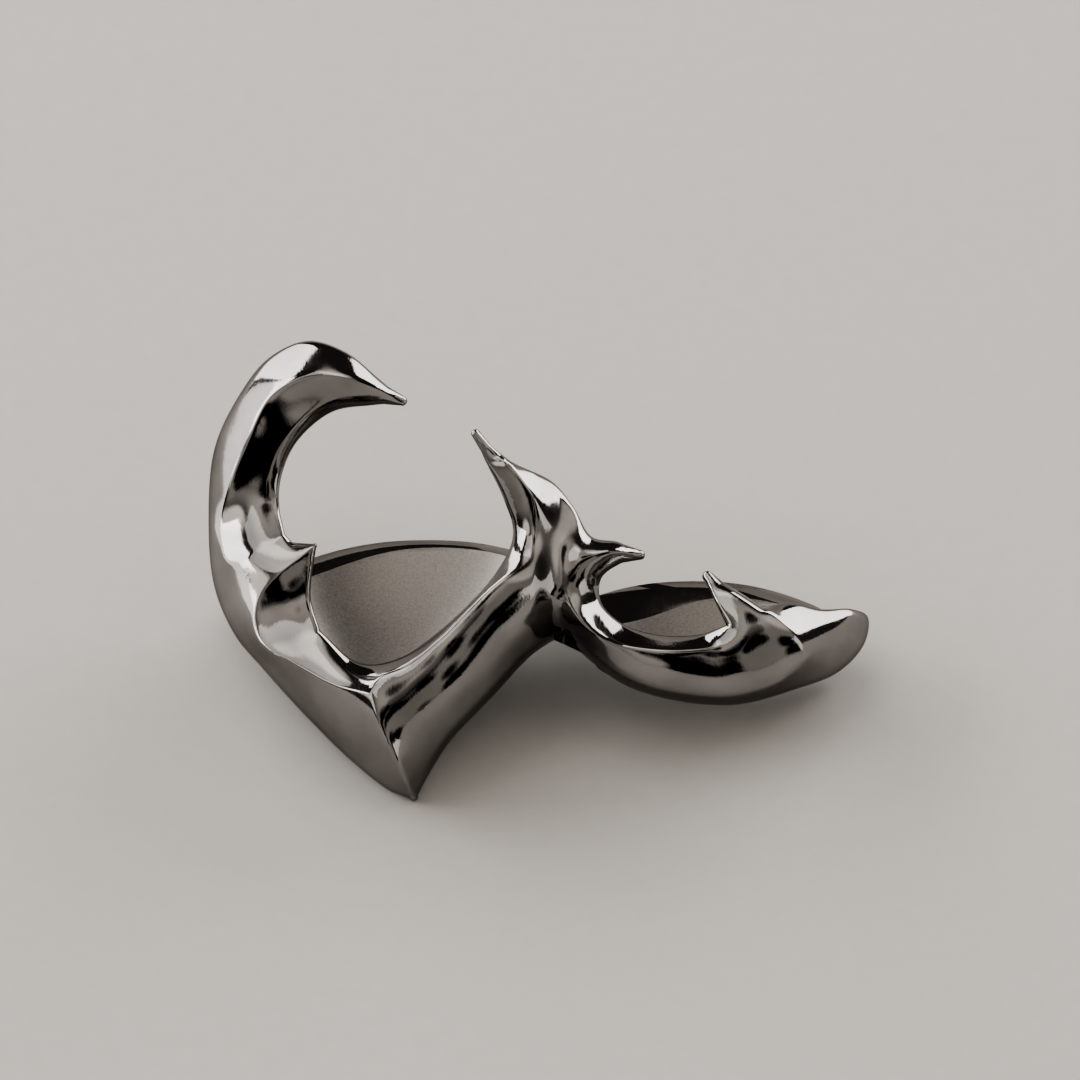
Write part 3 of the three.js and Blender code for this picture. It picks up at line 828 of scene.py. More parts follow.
@dataclass
class Relief:
    """The open-face front: hoop, thorns, fang, crescent, hook and bulb, draped on the labial surface.

    Sizes are in mm.

    Attributes:
        labial: The surface that the relief lies on.
        depth: How far it reaches behind the labial surface.
        fang_taper: The length over which the fang thins towards its tip.
        least_depth: The least thickness of the metal.
        most_slimmed: The largest share that is taken off the depth.
        body_swell: How much the faces swell, 1/mm.
        scoop_swell: The same in the scoops, which are hollow.
        edge_round: The radius of the edge in front.
        back_round: The radius of the edge behind.
        tip_length: The length of a free tip that is reshaped into a nose.
        tip_fade: The length from there on over which the edge gets its own radius.
        nose_points: How many points make up a nose.
        nose_sides: How many steps there are from the nose to the edge on each side.
        ridge_round: How far the rounding of a ridge spreads.
        ripple: The height of the ripple for a wave as long as ripple_full.
        ripple_seed: The seed of the ripple.
        ripple_waves: How many waves are added up.
        ripple_lengths: The shortest and the longest wave.
        ripple_full: The length of wave that ripple is the height of. Shorter waves are lower.
        ripple_fade: How far from the edge the ripple fades out.
        edge_step: The distance of points on the edge and the ridges.
        edge_rows: How far the rows of points beside the edge are from it.
        edge_clear: The share of that distance that each point of a row has to keep.
        edge_apart: The most that a row beside the edge keeps from the points of earlier rows.
        ridge_rows: How far the rows of points beside the ridges are from them.
        ridge_clear: The share of that distance that each point of a row has to keep.
        line_clear: How far a row keeps from lines that aren't its own.
        fill_step: The distance of points in the field between.
        fill_seed: The seed of their shake.
        fill_shake: The largest shake, as a share of the step.
        fill_clear: How far they keep from all else, as a share of the step.
    """

    labial: LabialSurface
    depth: float = 1.6
    fang_taper: float = 2.6
    least_depth: float = 0.08
    most_slimmed: float = 0.85
    body_swell: float = 0.9
    scoop_swell: float = -0.7
    edge_round: float = 0.1
    back_round: float = 0.3
    tip_length: float = 0.6
    tip_fade: float = 1.5
    nose_points: int = 11
    nose_sides: int = 5
    ridge_round: float = 0.05
    ripple: float = 0.007
    ripple_seed: int = 11
    ripple_waves: int = 9
    ripple_lengths: tuple[float, float] = (0.7, 1.9)
    ripple_full: float = 3.0
    ripple_fade: float = 0.4
    edge_step: float = 0.045
    edge_rows: tuple[float, ...] = (0.018, 0.045, 0.085, 0.135)
    edge_clear: float = 0.92
    edge_apart: float = 0.02
    ridge_rows: tuple[float, ...] = (0.035, 0.08)
    ridge_clear: float = 0.9
    line_clear: float = 0.03
    fill_step: float = 0.055
    fill_seed: int = 7
    fill_shake: float = 0.12
    fill_clear: float = 0.6

    def outline(self) -> np.ndarray:
        """Lays out the closed edge of the plan, with a blunt nose on each free tip.

        Returns:
            x, z, height and rounding of each point, anticlockwise from the front.
        """
        stretches = []
        for name, rows in EDGES.items():
            line = smooth_line(rows, self.edge_step)[1:]
            rounding = ROUNDED.get(name, self.edge_round)
            stretches.append(np.column_stack([line, np.full(len(line), rounding)]))
        outline = np.vstack(stretches)
        from_tips = distances(np.array(list(NOSES)), outline)
        share = np.clip((from_tips - self.tip_length) / self.tip_fade, 0, 1)
        outline[:, 3] = self.edge_round + share * (outline[:, 3] - self.edge_round)
        for tip, radius in NOSES.items():
            outline = self.blunted(outline, np.array(tip[:2]), radius)
        return outline

    def blunted(self, outline: np.ndarray, tip: np.ndarray, radius: float) -> np.ndarray:
        """Gives one free tip a round nose.

        Args:
            outline: The closed edge of the plan.
            tip: x and z of the tip.
            radius: The radius of the nose.

        Returns:
            The edge with the nose in place of the sharp corner.
        """
        reach = round(self.tip_length / self.edge_step)
        at = int(np.argmin(np.linalg.norm(outline[:, :2] - tip, axis=1)))
        outline = np.roll(outline, reach - at, axis=0)
        start, point, end = outline[0], outline[reach], outline[2 * reach]
        outwards = point[:2] - (start[:2] + end[:2]) / 2
        outwards /= np.linalg.norm(outwards)
        aside = np.array([-outwards[1], outwards[0]])
        if (start[:2] - end[:2]) @ aside < 0:
            aside = -aside
        turns = np.linspace(0, math.pi, self.nose_points)[:, None]
        centre = point[:2] - radius * outwards
        arc = centre + radius * (np.cos(turns) * aside + np.sin(turns) * outwards)
        nose = np.column_stack([arc, np.tile(point[2:], (len(arc), 1))])
        share = np.linspace(0, 1, self.nose_sides, endpoint=False)[1:, None]
        sides = [start + share * (nose[0] - start), nose, nose[-1] + share * (end - nose[-1])]
        return np.vstack([outline[:1], *sides, outline[2 * reach :]])

    def filling(self, outline: np.ndarray, ridges: list[np.ndarray]) -> np.ndarray:
        """Free points of the plan: rows beside the edge and the ridges, and an even field between.

        Args:
            outline: The edge of the plan.
            ridges: The ridge lines.

        Returns:
            x and z of each point.
        """
        crests = np.vstack(ridges)
        kept: list[np.ndarray] = []

        def keep(places: np.ndarray, from_edge: float, from_crest: float, apart: float) -> None:
            """Keeps the places that are inside and clear of the lines and of what is kept already.

            Args:
                places: The places on offer.
                from_edge: How far they have to be from the edge.
                from_crest: How far they have to be from the ridges.
                apart: How far they have to be from what is kept.
            """
            good = places[inside_outline(outline, places)]
            good = good[distances(outline, good) > from_edge]
            good = good[distances(crests, good) > from_crest]
            if kept:
                good = good[distances(np.vstack(kept), good) > apart]
            kept.append(good)

        plan = outline[:, :2]
        inward = leftward(np.roll(plan, -1, axis=0) - np.roll(plan, 1, axis=0))
        clear = self.line_clear
        for row in self.edge_rows:
            keep(plan + row * inward, self.edge_clear * row, clear, min(row / 2, self.edge_apart))
        for row in self.ridge_rows:
            for line in ridges:
                aside = leftward(np.gradient(line[:, :2], axis=0))
                for side in (-row, row):
                    keep(line[:, :2] + side * aside, clear, self.ridge_clear * row, clear)
        low, high, step = plan.min(axis=0), plan.max(axis=0), self.fill_step
        rise = step * math.sqrt(0.75)
        columns = np.arange(low[0], high[0], step)
        across, up = np.meshgrid(columns, np.arange(int((high[1] - low[1]) / rise) + 1))
        grid = np.column_stack([(across + (up % 2) * step / 2).ravel(), (low[1] + up * rise).ravel()])
        wander = np.random.default_rng(self.fill_seed)
        shake = wander.uniform(-self.fill_shake, self.fill_shake, grid.shape) * step
        clear = self.fill_clear * step
        keep(grid + shake, clear, clear, clear)
        return np.vstack(kept)

    def film(self) -> tuple[Film, np.ndarray]:
        """Lays the plan out flat and stretches a film over its edge and ridges.

        Returns:
            The film with the height of each point above the labial surface, and how far each point
            is from the edge.
        """
        outline = self.outline()
        ridges = [smooth_line(rows, self.edge_step) for rows in RIDGES.values()]
        filling = self.filling(outline, ridges)
        unset = np.full(len(filling), np.nan)
        given = np.vstack([outline[:, :3], *ridges, np.column_stack([filling, unset])])
        count = len(outline)
        links = [(i, (i + 1) % count) for i in range(count)]
        for line in ridges:
            links += [(i, i + 1) for i in range(count, count + len(line) - 1)]
            count += len(line)
        corners = [Vector((x, z)) for x, z in given[:, :2]]
        made, _, faces, sources, _, _ = delaunay_2d_cdt(corners, links, [], 0, SAME_PLACE, True)
        points = np.array([tuple(corner) for corner in made])
        triangles = np.array(faces)
        triangles = triangles[inside_outline(outline, points[triangles].mean(axis=1))]
        fixed = np.array([bool(ids) and ids[0] < count for ids in sources])
        heights = np.array(
            [np.nanmean(given[ids, 2]) if stays else 0.0 for ids, stays in zip(sources, fixed)]
        )
        film = Film(points, heights, fixed, triangles)
        swell = np.full(len(points), self.body_swell)
        for scoop in SCOOPS:
            swell[film.field_round(scoop)] = self.scoop_swell
        film.stretch(swell + gathered(SWELLS, points))
        return film, self.soften(film, outline)

    def soften(self, film: Film, outline: np.ndarray) -> np.ndarray:
        """Rounds the ridges and the edge, and gives the faces the ripple of hand polishing.

        Args:
            film: The film, whose heights change.
            outline: The edge of the plan.

        Returns:
            How far each point is from the edge.
        """
        rim = dense_loop(outline)
        at, from_edge = nearest(rim, film.points)
        film.melt(self.ridge_round + gathered(BLENDS, film.points), from_edge < ON_EDGE)
        film.heights = film.heights - rounded_off(rim[at, 3], from_edge)
        wander = np.random.default_rng(self.ripple_seed)
        ripple = np.zeros(len(film.points))
        for _ in range(self.ripple_waves):
            bearing = wander.uniform(0, 2 * math.pi)
            length = wander.uniform(*self.ripple_lengths)
            swing = film.points @ np.array([math.cos(bearing), math.sin(bearing)]) * 2 * math.pi / length
            ripple += np.sin(swing + wander.uniform(0, 2 * math.pi)) * length / self.ripple_full
        fade = np.clip(from_edge / self.ripple_fade, 0, 1)
        film.heights = film.heights + self.ripple * ripple * fade
        return from_edge

    def drape_tree(self) -> bpy.types.NodeTree:
        """Makes the node tree that raises the flat plan into the closed relief.

        Returns:
            The tree, with named inputs for its sizes.
        """
        tree = bpy.data.node_groups.new("relief_drape", "GeometryNodeTree")
        wanted = {
            "Plan": "NodeSocketGeometry",
            "Back depth": "NodeSocketFloat",
            "Fang tip": "NodeSocketFloat",
            "Fang taper": "NodeSocketFloat",
            "Least depth": "NodeSocketFloat",
            "Finish": "NodeSocketMaterial",
        }
        for name, kind in wanted.items():
            tree.interface.new_socket(name=name, in_out="INPUT", socket_type=kind)
        tree.interface.new_socket(name="Relief", in_out="OUTPUT", socket_type="NodeSocketGeometry")
        columns = ("labial", "film", "body", "ease")
        labial, film, body, ease = ((name, "Attribute") for name in columns)
        add, less = {"operation": "ADD"}, {"operation": "SUBTRACT"}
        plan, x, z, top = ("given", "Plan"), ("place", "X"), ("place", "Z"), ("raised", "Top")
        front_place, back_place = ("front_place", "Vector"), ("back_place", "Vector")
        grown = {
            "Value": ("above_tip", "Value"),
            "From Max": ("given", "Fang taper"),
            "To Max": ("given", "Back depth"),
        }
        behind = {0: ("eased", "Value"), 1: ("thinnest", "Value")}
        raised = {"Mesh": plan, "Offset": (0.0, -1.0, 0.0), "Individual": False}
        lifted = {"Geometry": ("raised", "Mesh"), "Selection": top, "Position": front_place}
        walled = {
            "Geometry": ("lifted", "Geometry"),
            "Selection": ("not_top", "Boolean"),
            "Position": back_place,
        }
        sides = [("walled", "Geometry"), ("closing", "Geometry")]
        dressed = {"Geometry": ("real", "Geometry"), "Material": ("given", "Finish")}
        rows: NodeRows = {
            "given": ("NodeGroupInput", {}, {}),
            **{
                name: ("GeometryNodeInputNamedAttribute", {"data_type": "FLOAT"}, {"Name": name})
                for name in columns
            },
            "position": ("GeometryNodeInputPosition", {}, {}),
            "place": ("ShaderNodeSeparateXYZ", {}, {"Vector": ("position", "Position")}),
            "front": ("ShaderNodeMath", less, {0: labial, 1: film}),
            "above_tip": ("ShaderNodeMath", less, {0: z, 1: ("given", "Fang tip")}),
            "grown": ("ShaderNodeMapRange", {}, grown),
            "slimmed": ("ShaderNodeMath", {"operation": "MULTIPLY"}, {0: ("grown", "Result"), 1: body}),
            "eased": ("ShaderNodeMath", less, {0: ("slimmed", "Value"), 1: ease}),
            "thinnest": ("ShaderNodeMath", less, {0: ("given", "Least depth"), 1: film}),
            "behind": ("ShaderNodeMath", {"operation": "MAXIMUM"}, behind),
            "back": ("ShaderNodeMath", add, {0: labial, 1: ("behind", "Value")}),
            "front_place": ("ShaderNodeCombineXYZ", {}, {"X": x, "Y": ("front", "Value"), "Z": z}),
            "back_place": ("ShaderNodeCombineXYZ", {}, {"X": x, "Y": ("back", "Value"), "Z": z}),
            "raised": ("GeometryNodeExtrudeMesh", {"mode": "FACES"}, raised),
            "lifted": ("GeometryNodeSetPosition", {}, lifted),
            "not_top": ("FunctionNodeBooleanMath", {"operation": "NOT"}, {0: top}),
            "walled": ("GeometryNodeSetPosition", {}, walled),
            "turned": ("GeometryNodeFlipFaces", {}, {"Mesh": plan}),
            "closing": (
                "GeometryNodeSetPosition",
                {},
                {"Geometry": ("turned", "Mesh"), "Position": back_place},
            ),
            "joined": ("GeometryNodeJoinGeometry", {}, {"Geometry": sides}),
            "closed": (
                "GeometryNodeMergeByDistance",
                {},
                {"Geometry": ("joined", "Geometry"), "Distance": SAME_PLACE},
            ),
            "real": ("GeometryNodeRealizeInstances", {}, {"Geometry": ("closed", "Geometry")}),
            "dressed": ("GeometryNodeSetMaterial", {}, dressed),
            "result": ("NodeGroupOutput", {}, {"Relief": ("dressed", "Geometry")}),
        }
        for name, row in rows.items():
            add_node(tree, name, *row)
        return tree

    def build(self, finish: bpy.types.Material) -> bpy.types.Object:
        """Builds the relief as a closed solid.

        Args:
            finish: The metal of its faces.

        Returns:
            The relief, as worn and in mm.
        """
        film, from_edge = self.film()
        flat = np.column_stack([film.points[:, 0], np.zeros(len(film.points)), film.points[:, 1]])
        relief = mesh_object("relief", flat, film.triangles)
        body = 1 - np.clip(gathered(SLIMMED, film.points), 0, self.most_slimmed)
        grown = np.clip((film.points[:, 1] - FANG_TIP[1]) / self.fang_taper, 0, 1)
        columns = {
            "film": film.heights,
            "labial": self.labial.depth(*film.points.T),
            "body": body,
            "ease": rounded_off(self.back_round, from_edge) * body * grown,
        }
        for name, values in columns.items():
            column = relief.data.attributes.new(name, "FLOAT", "POINT")
            column.data.foreach_set("value", values.astype(np.float32))
        tree = self.drape_tree()
        sizes = {
            "Back depth": self.depth,
            "Fang tip": FANG_TIP[1],
            "Fang taper": self.fang_taper,
            "Least depth": self.least_depth,
            "Finish": finish,
        }
        modifier = relief.modifiers.new("drape", "NODES")
        modifier.node_group = tree
        for item in tree.interface.items_tree:
            if item.in_out == "INPUT" and item.name in sizes:
                modifier[item.identifier] = sizes[item.name]
        apply_modifier(relief, modifier)
        return relief


@dataclass
class Cap:
    """One cap: its hollow as a loft through sections, and the lingual backing round it, in mm.

    The closed end of the hollow is a low dome under the lowest section.

    Attributes:
        name: What the cap is called.
        face: Its front in plan.
        labial: The surface that the relief lies on.
        rows: The sections of the hollow.
        tip_rows: The sections of the backing below the hollow.
        first_grown: The first section of the hollow that the backing follows.
        backing_top: The height of the backing's rim.
        wall: The thickness of the backing.
        backing_dip: How much lower the rim runs at both ends.
        backing_wrap: How far the backing goes on past half way round, radians.
        rim_round: The radius of the rim.
        rim_rings: How many rings make the rim round.
        edge_dome: The height of the dome.
        edge_drawn: How far the dome is drawn in, as a share of half the thickness.
        edge_rings: How many rings make the dome round.
        squareness: The power of the sections, 2 for an ellipse and more for a squarer one.
        rings: How many rings there are besides.
        sides: How many sides the hollow has.
    """

    name: str
    face: CapFront
    labial: LabialSurface
    rows: Rows
    tip_rows: Rows
    first_grown: int
    backing_top: float
    wall: float = 0.6
    backing_dip: float = 1.1
    backing_wrap: float = 0.1
    rim_round: float = 0.22
    rim_rings: int = 8
    edge_dome: float = 0.22
    edge_drawn: float = 0.97
    edge_rings: int = 10
    squareness: float = 2.3
    rings: int = 64
    sides: int = 120

    def sections(self, rows: Rows, z: np.ndarray) -> np.ndarray:
        """Middle, half width, setback and thickness of the loft at some heights.

        Args:
            rows: The table of sections.
            z: The heights.

        Returns:
            A row for each height.
        """
        knots = np.array(rows, dtype=float)
        at, values = knots[:, 0], knots[:, 1:]
        z = np.clip(z, at[0], at[-1])
        slopes = np.empty_like(values)
        slopes[1:-1] = (values[2:] - values[:-2]) / (at[2:] - at[:-2])[:, None]
        slopes[0] = (values[1] - values[0]) / (at[1] - at[0])
        slopes[-1] = (values[-1] - values[-2]) / (at[-1] - at[-2])
        i = np.clip(np.searchsorted(at, z, side="right") - 1, 0, len(at) - 2)
        gap = (at[i + 1] - at[i])[:, None]
        share = (z - at[i])[:, None] / gap
        return curve(values[i], values[i + 1], slopes[i] * gap, slopes[i + 1] * gap, share)

    def loft(
        self, rows: Rows, z: np.ndarray, inset: np.ndarray, angles: np.ndarray, dip: float
    ) -> np.ndarray:
        """Points of the loft, ring by ring.

        Args:
            rows: The table of sections.
            z: The height of each ring.
            inset: How far each ring is drawn in.
            angles: The turns round each ring, from the mesial side over the lingual side.
            dip: How much lower the top runs at both ends.

        Returns:
            The points, ring after ring.
        """
        x, half_width, setback, thickness = (column[:, None] for column in self.sections(rows, z).T)
        draw = inset[:, None]
        front = self.labial.depth(x, z[:, None]) + setback + draw
        power = 2 / self.squareness
        cosine, sine = np.cos(angles)[None], np.sin(angles)[None]
        across = (half_width - draw) * np.sign(cosine) * np.abs(cosine) ** power
        deep = (thickness / 2 - draw) * (1 + np.sign(sine) * np.abs(sine) ** power)
        run = math.hypot(1, self.face.slope)
        share = ((z - z[0]) / (z[-1] - z[0]))[:, None]
        points = np.stack(
            [
                x + (across - self.face.slope * deep) / run,
                front + (self.face.slope * across + deep) / run,
                z[:, None] - dip * share**2 * cosine**2,
            ],
            axis=-1,
        )
        return points.reshape(-1, 3)

    def skin(self, rings: int, per_ring: int) -> list[tuple[int, ...]]:
        """Faces of a loft with closed ends.

        Args:
            rings: How many rings it has.
            per_ring: How many points each ring has.

        Returns:
            The points of each face.
        """
        faces: list[tuple[int, ...]] = []
        for ring in range(rings - 1):
            low, high = ring * per_ring, (ring + 1) * per_ring
            for side in range(per_ring):
                after = (side + 1) % per_ring
                faces.append((low + side, low + after, high + after))
                faces.append((low + side, high + after, high + side))
        last = (rings - 1) * per_ring
        for side in range(1, per_ring - 1):
            faces.append((0, side + 1, side))
            faces.append((last, last + side, last + side + 1))
        return faces

    def hollow(self, finish: bpy.types.Material) -> bpy.types.Object:
        """Builds the solid that is cut out of the casting.

        Args:
            finish: The metal of the hollow that it leaves.

        Returns:
            The solid, from the closed end of the hollow to above the backing's rim.
        """
        share = np.linspace(0, 1, self.edge_rings)[:-1]
        bottom, half_thickness = self.rows[0][0], self.rows[0][4] / 2
        straight = np.linspace(bottom, self.rows[-1][0], self.rings)
        z = np.concatenate([bottom - self.edge_dome * (1 - share**2), straight])
        inset = np.concatenate([self.edge_drawn * half_thickness * (1 - share), np.zeros(self.rings)])
        angles = np.linspace(0, 2 * math.pi, self.sides, endpoint=False)
        points = self.loft(self.rows, z, inset, angles, 0.0)
        hollow = mesh_object(f"{self.name}_hollow", points, self.skin(len(z), self.sides))
        hollow.data.materials.append(finish)
        return hollow

    def backing(self, finish: bpy.types.Material) -> bpy.types.Object:
        """Builds the lingual shell round the hollow, with a rounded rim.

        Args:
            finish: The metal of its faces.

        Returns:
            The shell before the hollow is cut out of it.
        """
        grown = [
            (z, x, half_width + self.wall, setback - self.wall, thickness + 2 * self.wall)
            for z, x, half_width, setback, thickness in self.rows[self.first_grown :]
        ]
        rows = [*self.tip_rows, *grown]
        turn = np.linspace(0, math.pi / 2, self.rim_rings)[1:]
        straight = np.linspace(rows[0][0], self.backing_top - self.rim_round, self.rings)
        z = np.concatenate([straight, self.backing_top - self.rim_round * (1 - np.sin(turn))])
        inset = np.concatenate([np.zeros(self.rings), self.rim_round * (1 - np.cos(turn))])
        angles = np.linspace(-self.backing_wrap, math.pi + self.backing_wrap, self.sides + 1)
        points = self.loft(rows, z, inset, angles, self.backing_dip)
        shell = mesh_object(f"{self.name}_backing", points, self.skin(len(z), len(angles)))
        shell.data.materials.append(finish)
        return shell


@dataclass
class Casting:
    """The whole grillz: relief and backings in one piece, with the hollows of both caps cut out.

    Attributes:
        rest_pitch: The turn about X from worn to lying, degrees.
        rest_roll: The turn about Y that follows, so that it lies on three points, degrees.
        crease: The angle from which an edge looks sharp, degrees.
        fit_share: Its size as a share of the plain solid's, which keeps it inside the solid's box.
        rim_eased: How far its round back rim is drawn in, mm, where the plain solid's is sharp.
        labial: The surface that the relief lies on.
        lay_down: The move from worn in mm to lying in metres, which build sets.
    """

    rest_pitch: float = -43.6
    rest_roll: float = 0.8
    crease: float = 38.0
    fit_share: float = 0.9985
    rim_eased: float = 0.134
    labial: LabialSurface = field(default_factory=LabialSurface)
    lay_down: Matrix = field(default_factory=Matrix)

    def caps(self) -> list[Cap]:
        """Lists the two caps.

        Returns:
            The canine cap and the lateral cap.
        """
        front = self.labial
        canine = Cap("canine", front.canine, front, CANINE_HOLLOW, FANG_CORE, 1, backing_top=3.6)
        lateral = Cap("lateral", front.lateral, front, LATERAL_HOLLOW, LATERAL_SOLE, 0, backing_top=2.6)
        return [canine, lateral]

    def combine(self, piece: bpy.types.Object, other: bpy.types.Object, joining: Joining) -> None:
        """Joins another solid to a piece or cuts it out, and takes the other solid away.

        Args:
            piece: The solid that is changed.
            other: The solid that is used up.
            joining: Whether it is added or cut out.
        """
        modifier = piece.modifiers.new(joining.name.lower(), "BOOLEAN")
        modifier.operation = joining.value
        modifier.solver = "MANIFOLD"
        modifier.material_mode = "TRANSFER"
        modifier.object = other
        apply_modifier(piece, modifier)
        bpy.data.objects.remove(other)

    def build(self, polished: bpy.types.Material, as_cast: bpy.types.Material) -> bpy.types.Object:
        """Builds the casting and lays it down as it rests.

        Args:
            polished: The finish of the outside.
            as_cast: The finish of the hollows.

        Returns:
            The casting, in metres, with the middle of the plain solid's footprint on the origin.
        """
        casting = Relief(self.labial).build(polished)
        casting.name = "fang_grillz"
        caps = self.caps()
        for cap in caps:
            self.combine(casting, cap.backing(polished), Joining.ADD)
        for cap in caps:
            self.combine(casting, cap.hollow(as_cast), Joining.CUT)
        turn = Matrix.Rotation(math.radians(self.rest_roll), 4, "Y")
        turn = turn @ Matrix.Rotation(math.radians(self.rest_pitch), 4, "X")
        places = np.array([tuple(turn @ vertex.co) for vertex in casting.data.vertices])
        low, high = places.min(axis=0), places.max(axis=0)
        high[1] += self.rim_eased
        shift = Vector((-(low[0] + high[0]) / 2, -(low[1] + high[1]) / 2, -low[2]))
        scale = METRES * self.fit_share
        self.lay_down = Matrix.Scale(scale, 4) @ Matrix.Translation(shift) @ turn
        casting.data.transform(self.lay_down)
        casting.data.shade_smooth()
        casting.data.set_sharp_from_angle(angle=math.radians(self.crease))
        return casting

    def dress(self, casting: bpy.types.Object) -> None:
        """Puts the casting in the frame in place of its plain solid.

        Args:
            casting: The finished piece.
        """
        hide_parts(NODE)
        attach(casting, BODY)


@dataclass
class Floor:
    """A sheet of pale paper that the grillz lies on, in metres."""

    side: float = 3.0

    def build(self, finish: bpy.types.Material) -> bpy.types.Object:
        """Builds the floor.

        Args:
            finish: The floor's material.

        Returns:
            The floor.
        """
        half = self.side / 2
        corners = np.array([(-half, -half, 0), (half, -half, 0), (half, half, 0), (-half, half, 0)])
        floor = mesh_object("floor", corners, [(0, 1, 2, 3)])
        floor.data.materials.append(finish)
        return floor


def heading(azimuth: float, elevation: float) -> Vector:
    """Unit vector of a direction from the grillz.

    Args:
        azimuth: Degrees from the camera's side, to the right.
        elevation: Degrees above the floor.

    Returns:
        The direction in the resting frame.
    """
    turn, rise = math.radians(azimuth), math.radians(elevation)
    return Vector((math.sin(turn) * math.cos(rise), -math.cos(turn) * math.cos(rise), math.sin(rise)))


@dataclass(frozen=True)
class Lamp:
    """A soft panel lamp that faces the grillz. Angles are in degrees, sizes in metres.

    Attributes:
        name: The lamp's name.
        azimuth: Where it stands, from the camera's side to the right.
        elevation: How high it stands.
        distance: How far away it is.
        size: Its width and height.
        radiance: How bright its face is.
        colour: The colour of its light.
    """

    name: str
    azimuth: float
    elevation: float
    distance: float
    size: tuple[float, float]
    radiance: float
    colour: str

    def build(self) -> bpy.types.Object:
        """Builds the lamp.

        Returns:
            The lamp.
        """
        light = bpy.data.lights.new(self.name, "AREA")
        light.shape = "RECTANGLE"
        light.size, light.size_y = self.size
        light.energy = self.radiance * math.pi * self.size[0] * self.size[1]
        light.color = linear(self.colour)[:3]
        lamp = bpy.data.objects.new(self.name, light)
        away = heading(self.azimuth, self.elevation)
        lamp.location = away * self.distance
        lamp.rotation_euler = away.to_track_quat("Z", "Y").to_euler()
        lamp.visible_camera = False
        bpy.context.scene.collection.objects.link(lamp)
        return lamp


@dataclass(frozen=True)
class Glow:
    """A soft patch of light on the walls of the room, or a dark gap in one. Angles are in degrees.

    Attributes:
        azimuth: Where it is, from the camera's side to the right.
        elevation: How high it is.
        core: How far from the middle it is at its full.
        reach: How far from the middle it has faded out.
        radiance: How bright it is. A gap takes light off what is round it, so its value is below zero.
    """

    azimuth: float
    elevation: float
    core: float
    reach: float
    radiance: float

    def add(self, tree: bpy.types.NodeTree, name: str) -> None:
        """Adds the glow to the room.

        Args:
            tree: The room's nodes, of which way gives the direction that is looked in.
            name: The name of the node that gives how bright the glow is there.
        """
        towards = {0: ("way", "Generated"), 1: heading(self.azimuth, self.elevation)}
        add_node(tree, f"{name}_way", "ShaderNodeVectorMath", {"operation": "DOT_PRODUCT"}, towards)
        bright = {
            "Value": (f"{name}_way", "Value"),
            "From Min": math.cos(math.radians(self.reach)),
            "From Max": math.cos(math.radians(self.core)),
            "To Max": self.radiance,
        }
        add_node(tree, name, "ShaderNodeMapRange", {"interpolation_type": "SMOOTHSTEP"}, bright)


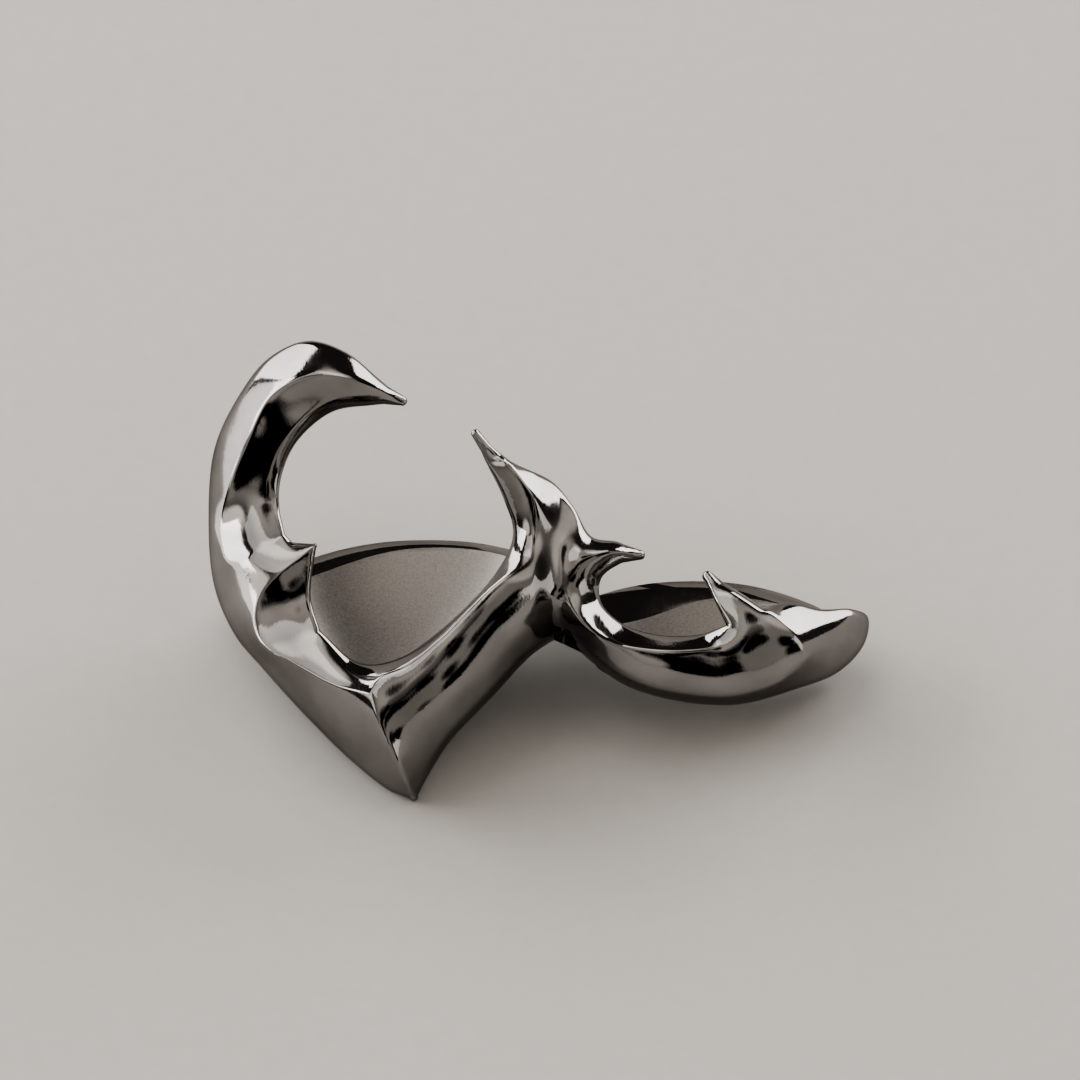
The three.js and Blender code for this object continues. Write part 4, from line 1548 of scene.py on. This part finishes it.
@dataclass
class Studio:
    """Plain soft studio light: panel lamps in a dim room whose walls catch some of it.

    Attributes:
        room: How bright the walls are besides the glows.
        tint: The colour of the walls.
        contrast: Blender's name for the contrast of the picture.
        glows: The patches and gaps of light on the walls.
        lamps: The panel lamps.
    """

    room: float = 0.045
    tint: str = "#FFF6EC"
    contrast: str = "AgX - Medium High Contrast"
    glows: tuple[Glow, ...] = (
        Glow(25, 38, 35, 75, 0.42),
        Glow(-40, 4, 10, 34, 0.4),
        Glow(-160, 58, 6, 20, 1.5),
        Glow(100, 50, 8, 22, 0.8),
        Glow(-74, 32, 8, 18, 1.8),
        Glow(0, 85, 5, 38, 0.5),
        Glow(58, 6, 5, 13, -0.55),
        Glow(57, 26, 5, 13, -0.55),
        Glow(26, 42, 4, 11, -0.55),
        Glow(25, 60, 5, 13, -0.55),
        Glow(-8, 28, 10, 20, -0.55),
        Glow(3, 14, 5, 13, -0.55),
        Glow(0, 0, 8, 20, -0.55),
        Glow(-2, 51, 6, 14, -0.55),
        Glow(40, 80, 5, 13, -0.9),
    )
    lamps: tuple[Lamp, ...] = (
        Lamp("key_panel", -107, 26, 0.6, (0.46, 0.22), 6.5, "#FFFBF8"),
        Lamp("top_panel", -118, 62, 0.6, (0.5, 0.36), 1.2, "#FFFBF8"),
        Lamp("back_panel", -147, 15, 0.6, (0.34, 0.32), 6.0, "#FFFBF8"),
        Lamp("rim_panel", 140, 16, 0.6, (0.5, 0.36), 6.0, "#FFFBF8"),
        Lamp("left_panel", -107, 7, 0.6, (0.46, 0.18), 2.8, "#FFFBF8"),
        Lamp("right_panel", 80, 12, 0.6, (0.3, 0.3), 1.3, "#FFF8F1"),
    )

    def build(self) -> None:
        """Lights the scene."""
        world = bpy.data.worlds.new("studio_room")
        world.use_nodes = True
        tree = world.node_tree
        add_node(tree, "way", "ShaderNodeTexCoord", {}, {})
        total: float | tuple[str, str] = self.room
        for i, glow in enumerate(self.glows):
            glow.add(tree, f"glow_{i}")
            parts = {0: total, 1: (f"glow_{i}", "Result")}
            add_node(tree, f"total_{i}", "ShaderNodeMath", {"operation": "ADD"}, parts)
            total = (f"total_{i}", "Value")
        add_node(tree, "lit", "ShaderNodeMath", {"operation": "MAXIMUM"}, {0: total, 1: 0.0})
        walls = {"Color": linear(self.tint), "Strength": ("lit", "Value")}
        set_inputs(tree, tree.nodes["Background"], walls)
        bpy.context.scene.world = world
        bpy.context.scene.view_settings.look = self.contrast
        for lamp in self.lamps:
            lamp.build()


@dataclass
class Viewpoint:
    """A camera square to the front of the grillz as it is worn. Sizes in mm.

    Attributes:
        aim: The point that it looks at, in the worn frame.
        distance: How far it is from there.
        frame_width: The width that the picture takes in there.
        sensor_width: The width of the sensor.
        clip: The nearest and the farthest that it sees, metres.
    """

    aim: tuple[float, float, float] = (-0.3, -2.0, 3.6)
    distance: float = 300.0
    frame_width: float = 26.0
    sensor_width: float = 36.0
    clip: tuple[float, float] = (0.01, 10.0)

    def build(self, lay_down: Matrix) -> bpy.types.Object:
        """Builds the camera and makes it the scene's own.

        Args:
            lay_down: The move from the worn frame in mm to the resting one in metres.

        Returns:
            The camera.
        """
        data = bpy.data.cameras.new("viewpoint")
        data.sensor_width = self.sensor_width
        data.lens = self.sensor_width * self.distance / self.frame_width
        data.clip_start, data.clip_end = self.clip
        camera = bpy.data.objects.new("viewpoint", data)
        turn = lay_down.to_3x3().normalized()
        across, deep, up = (turn @ Vector(axis) for axis in ((1, 0, 0), (0, 1, 0), (0, 0, 1)))
        axes = Matrix((across, up, -deep)).transposed()
        camera.rotation_euler = axes.to_euler()
        camera.location = lay_down @ Vector(self.aim) - deep * self.distance * METRES
        bpy.context.scene.collection.objects.link(camera)
        bpy.context.scene.camera = camera
        return camera


def main() -> None:
    """Builds the grillz, the floor, the light and the camera."""
    logging.basicConfig(level=logging.INFO, format="%(message)s")
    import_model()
    casting = Casting()
    piece = casting.build(PolishedSilver().build(), AsCastSilver().build())
    casting.dress(piece)
    LOG.info("%s: %d faces, %d finishes", piece.name, len(piece.data.polygons), len(piece.data.materials))
    floor = Floor().build(MattPaper().build())
    LOG.info("%s: %.1f m square", floor.name, floor.dimensions.x)
    Studio().build()
    camera = Viewpoint().build(casting.lay_down)
    LOG.info("%s: %.0f mm lens", camera.name, camera.data.lens)


if __name__ == "__main__":
    main()
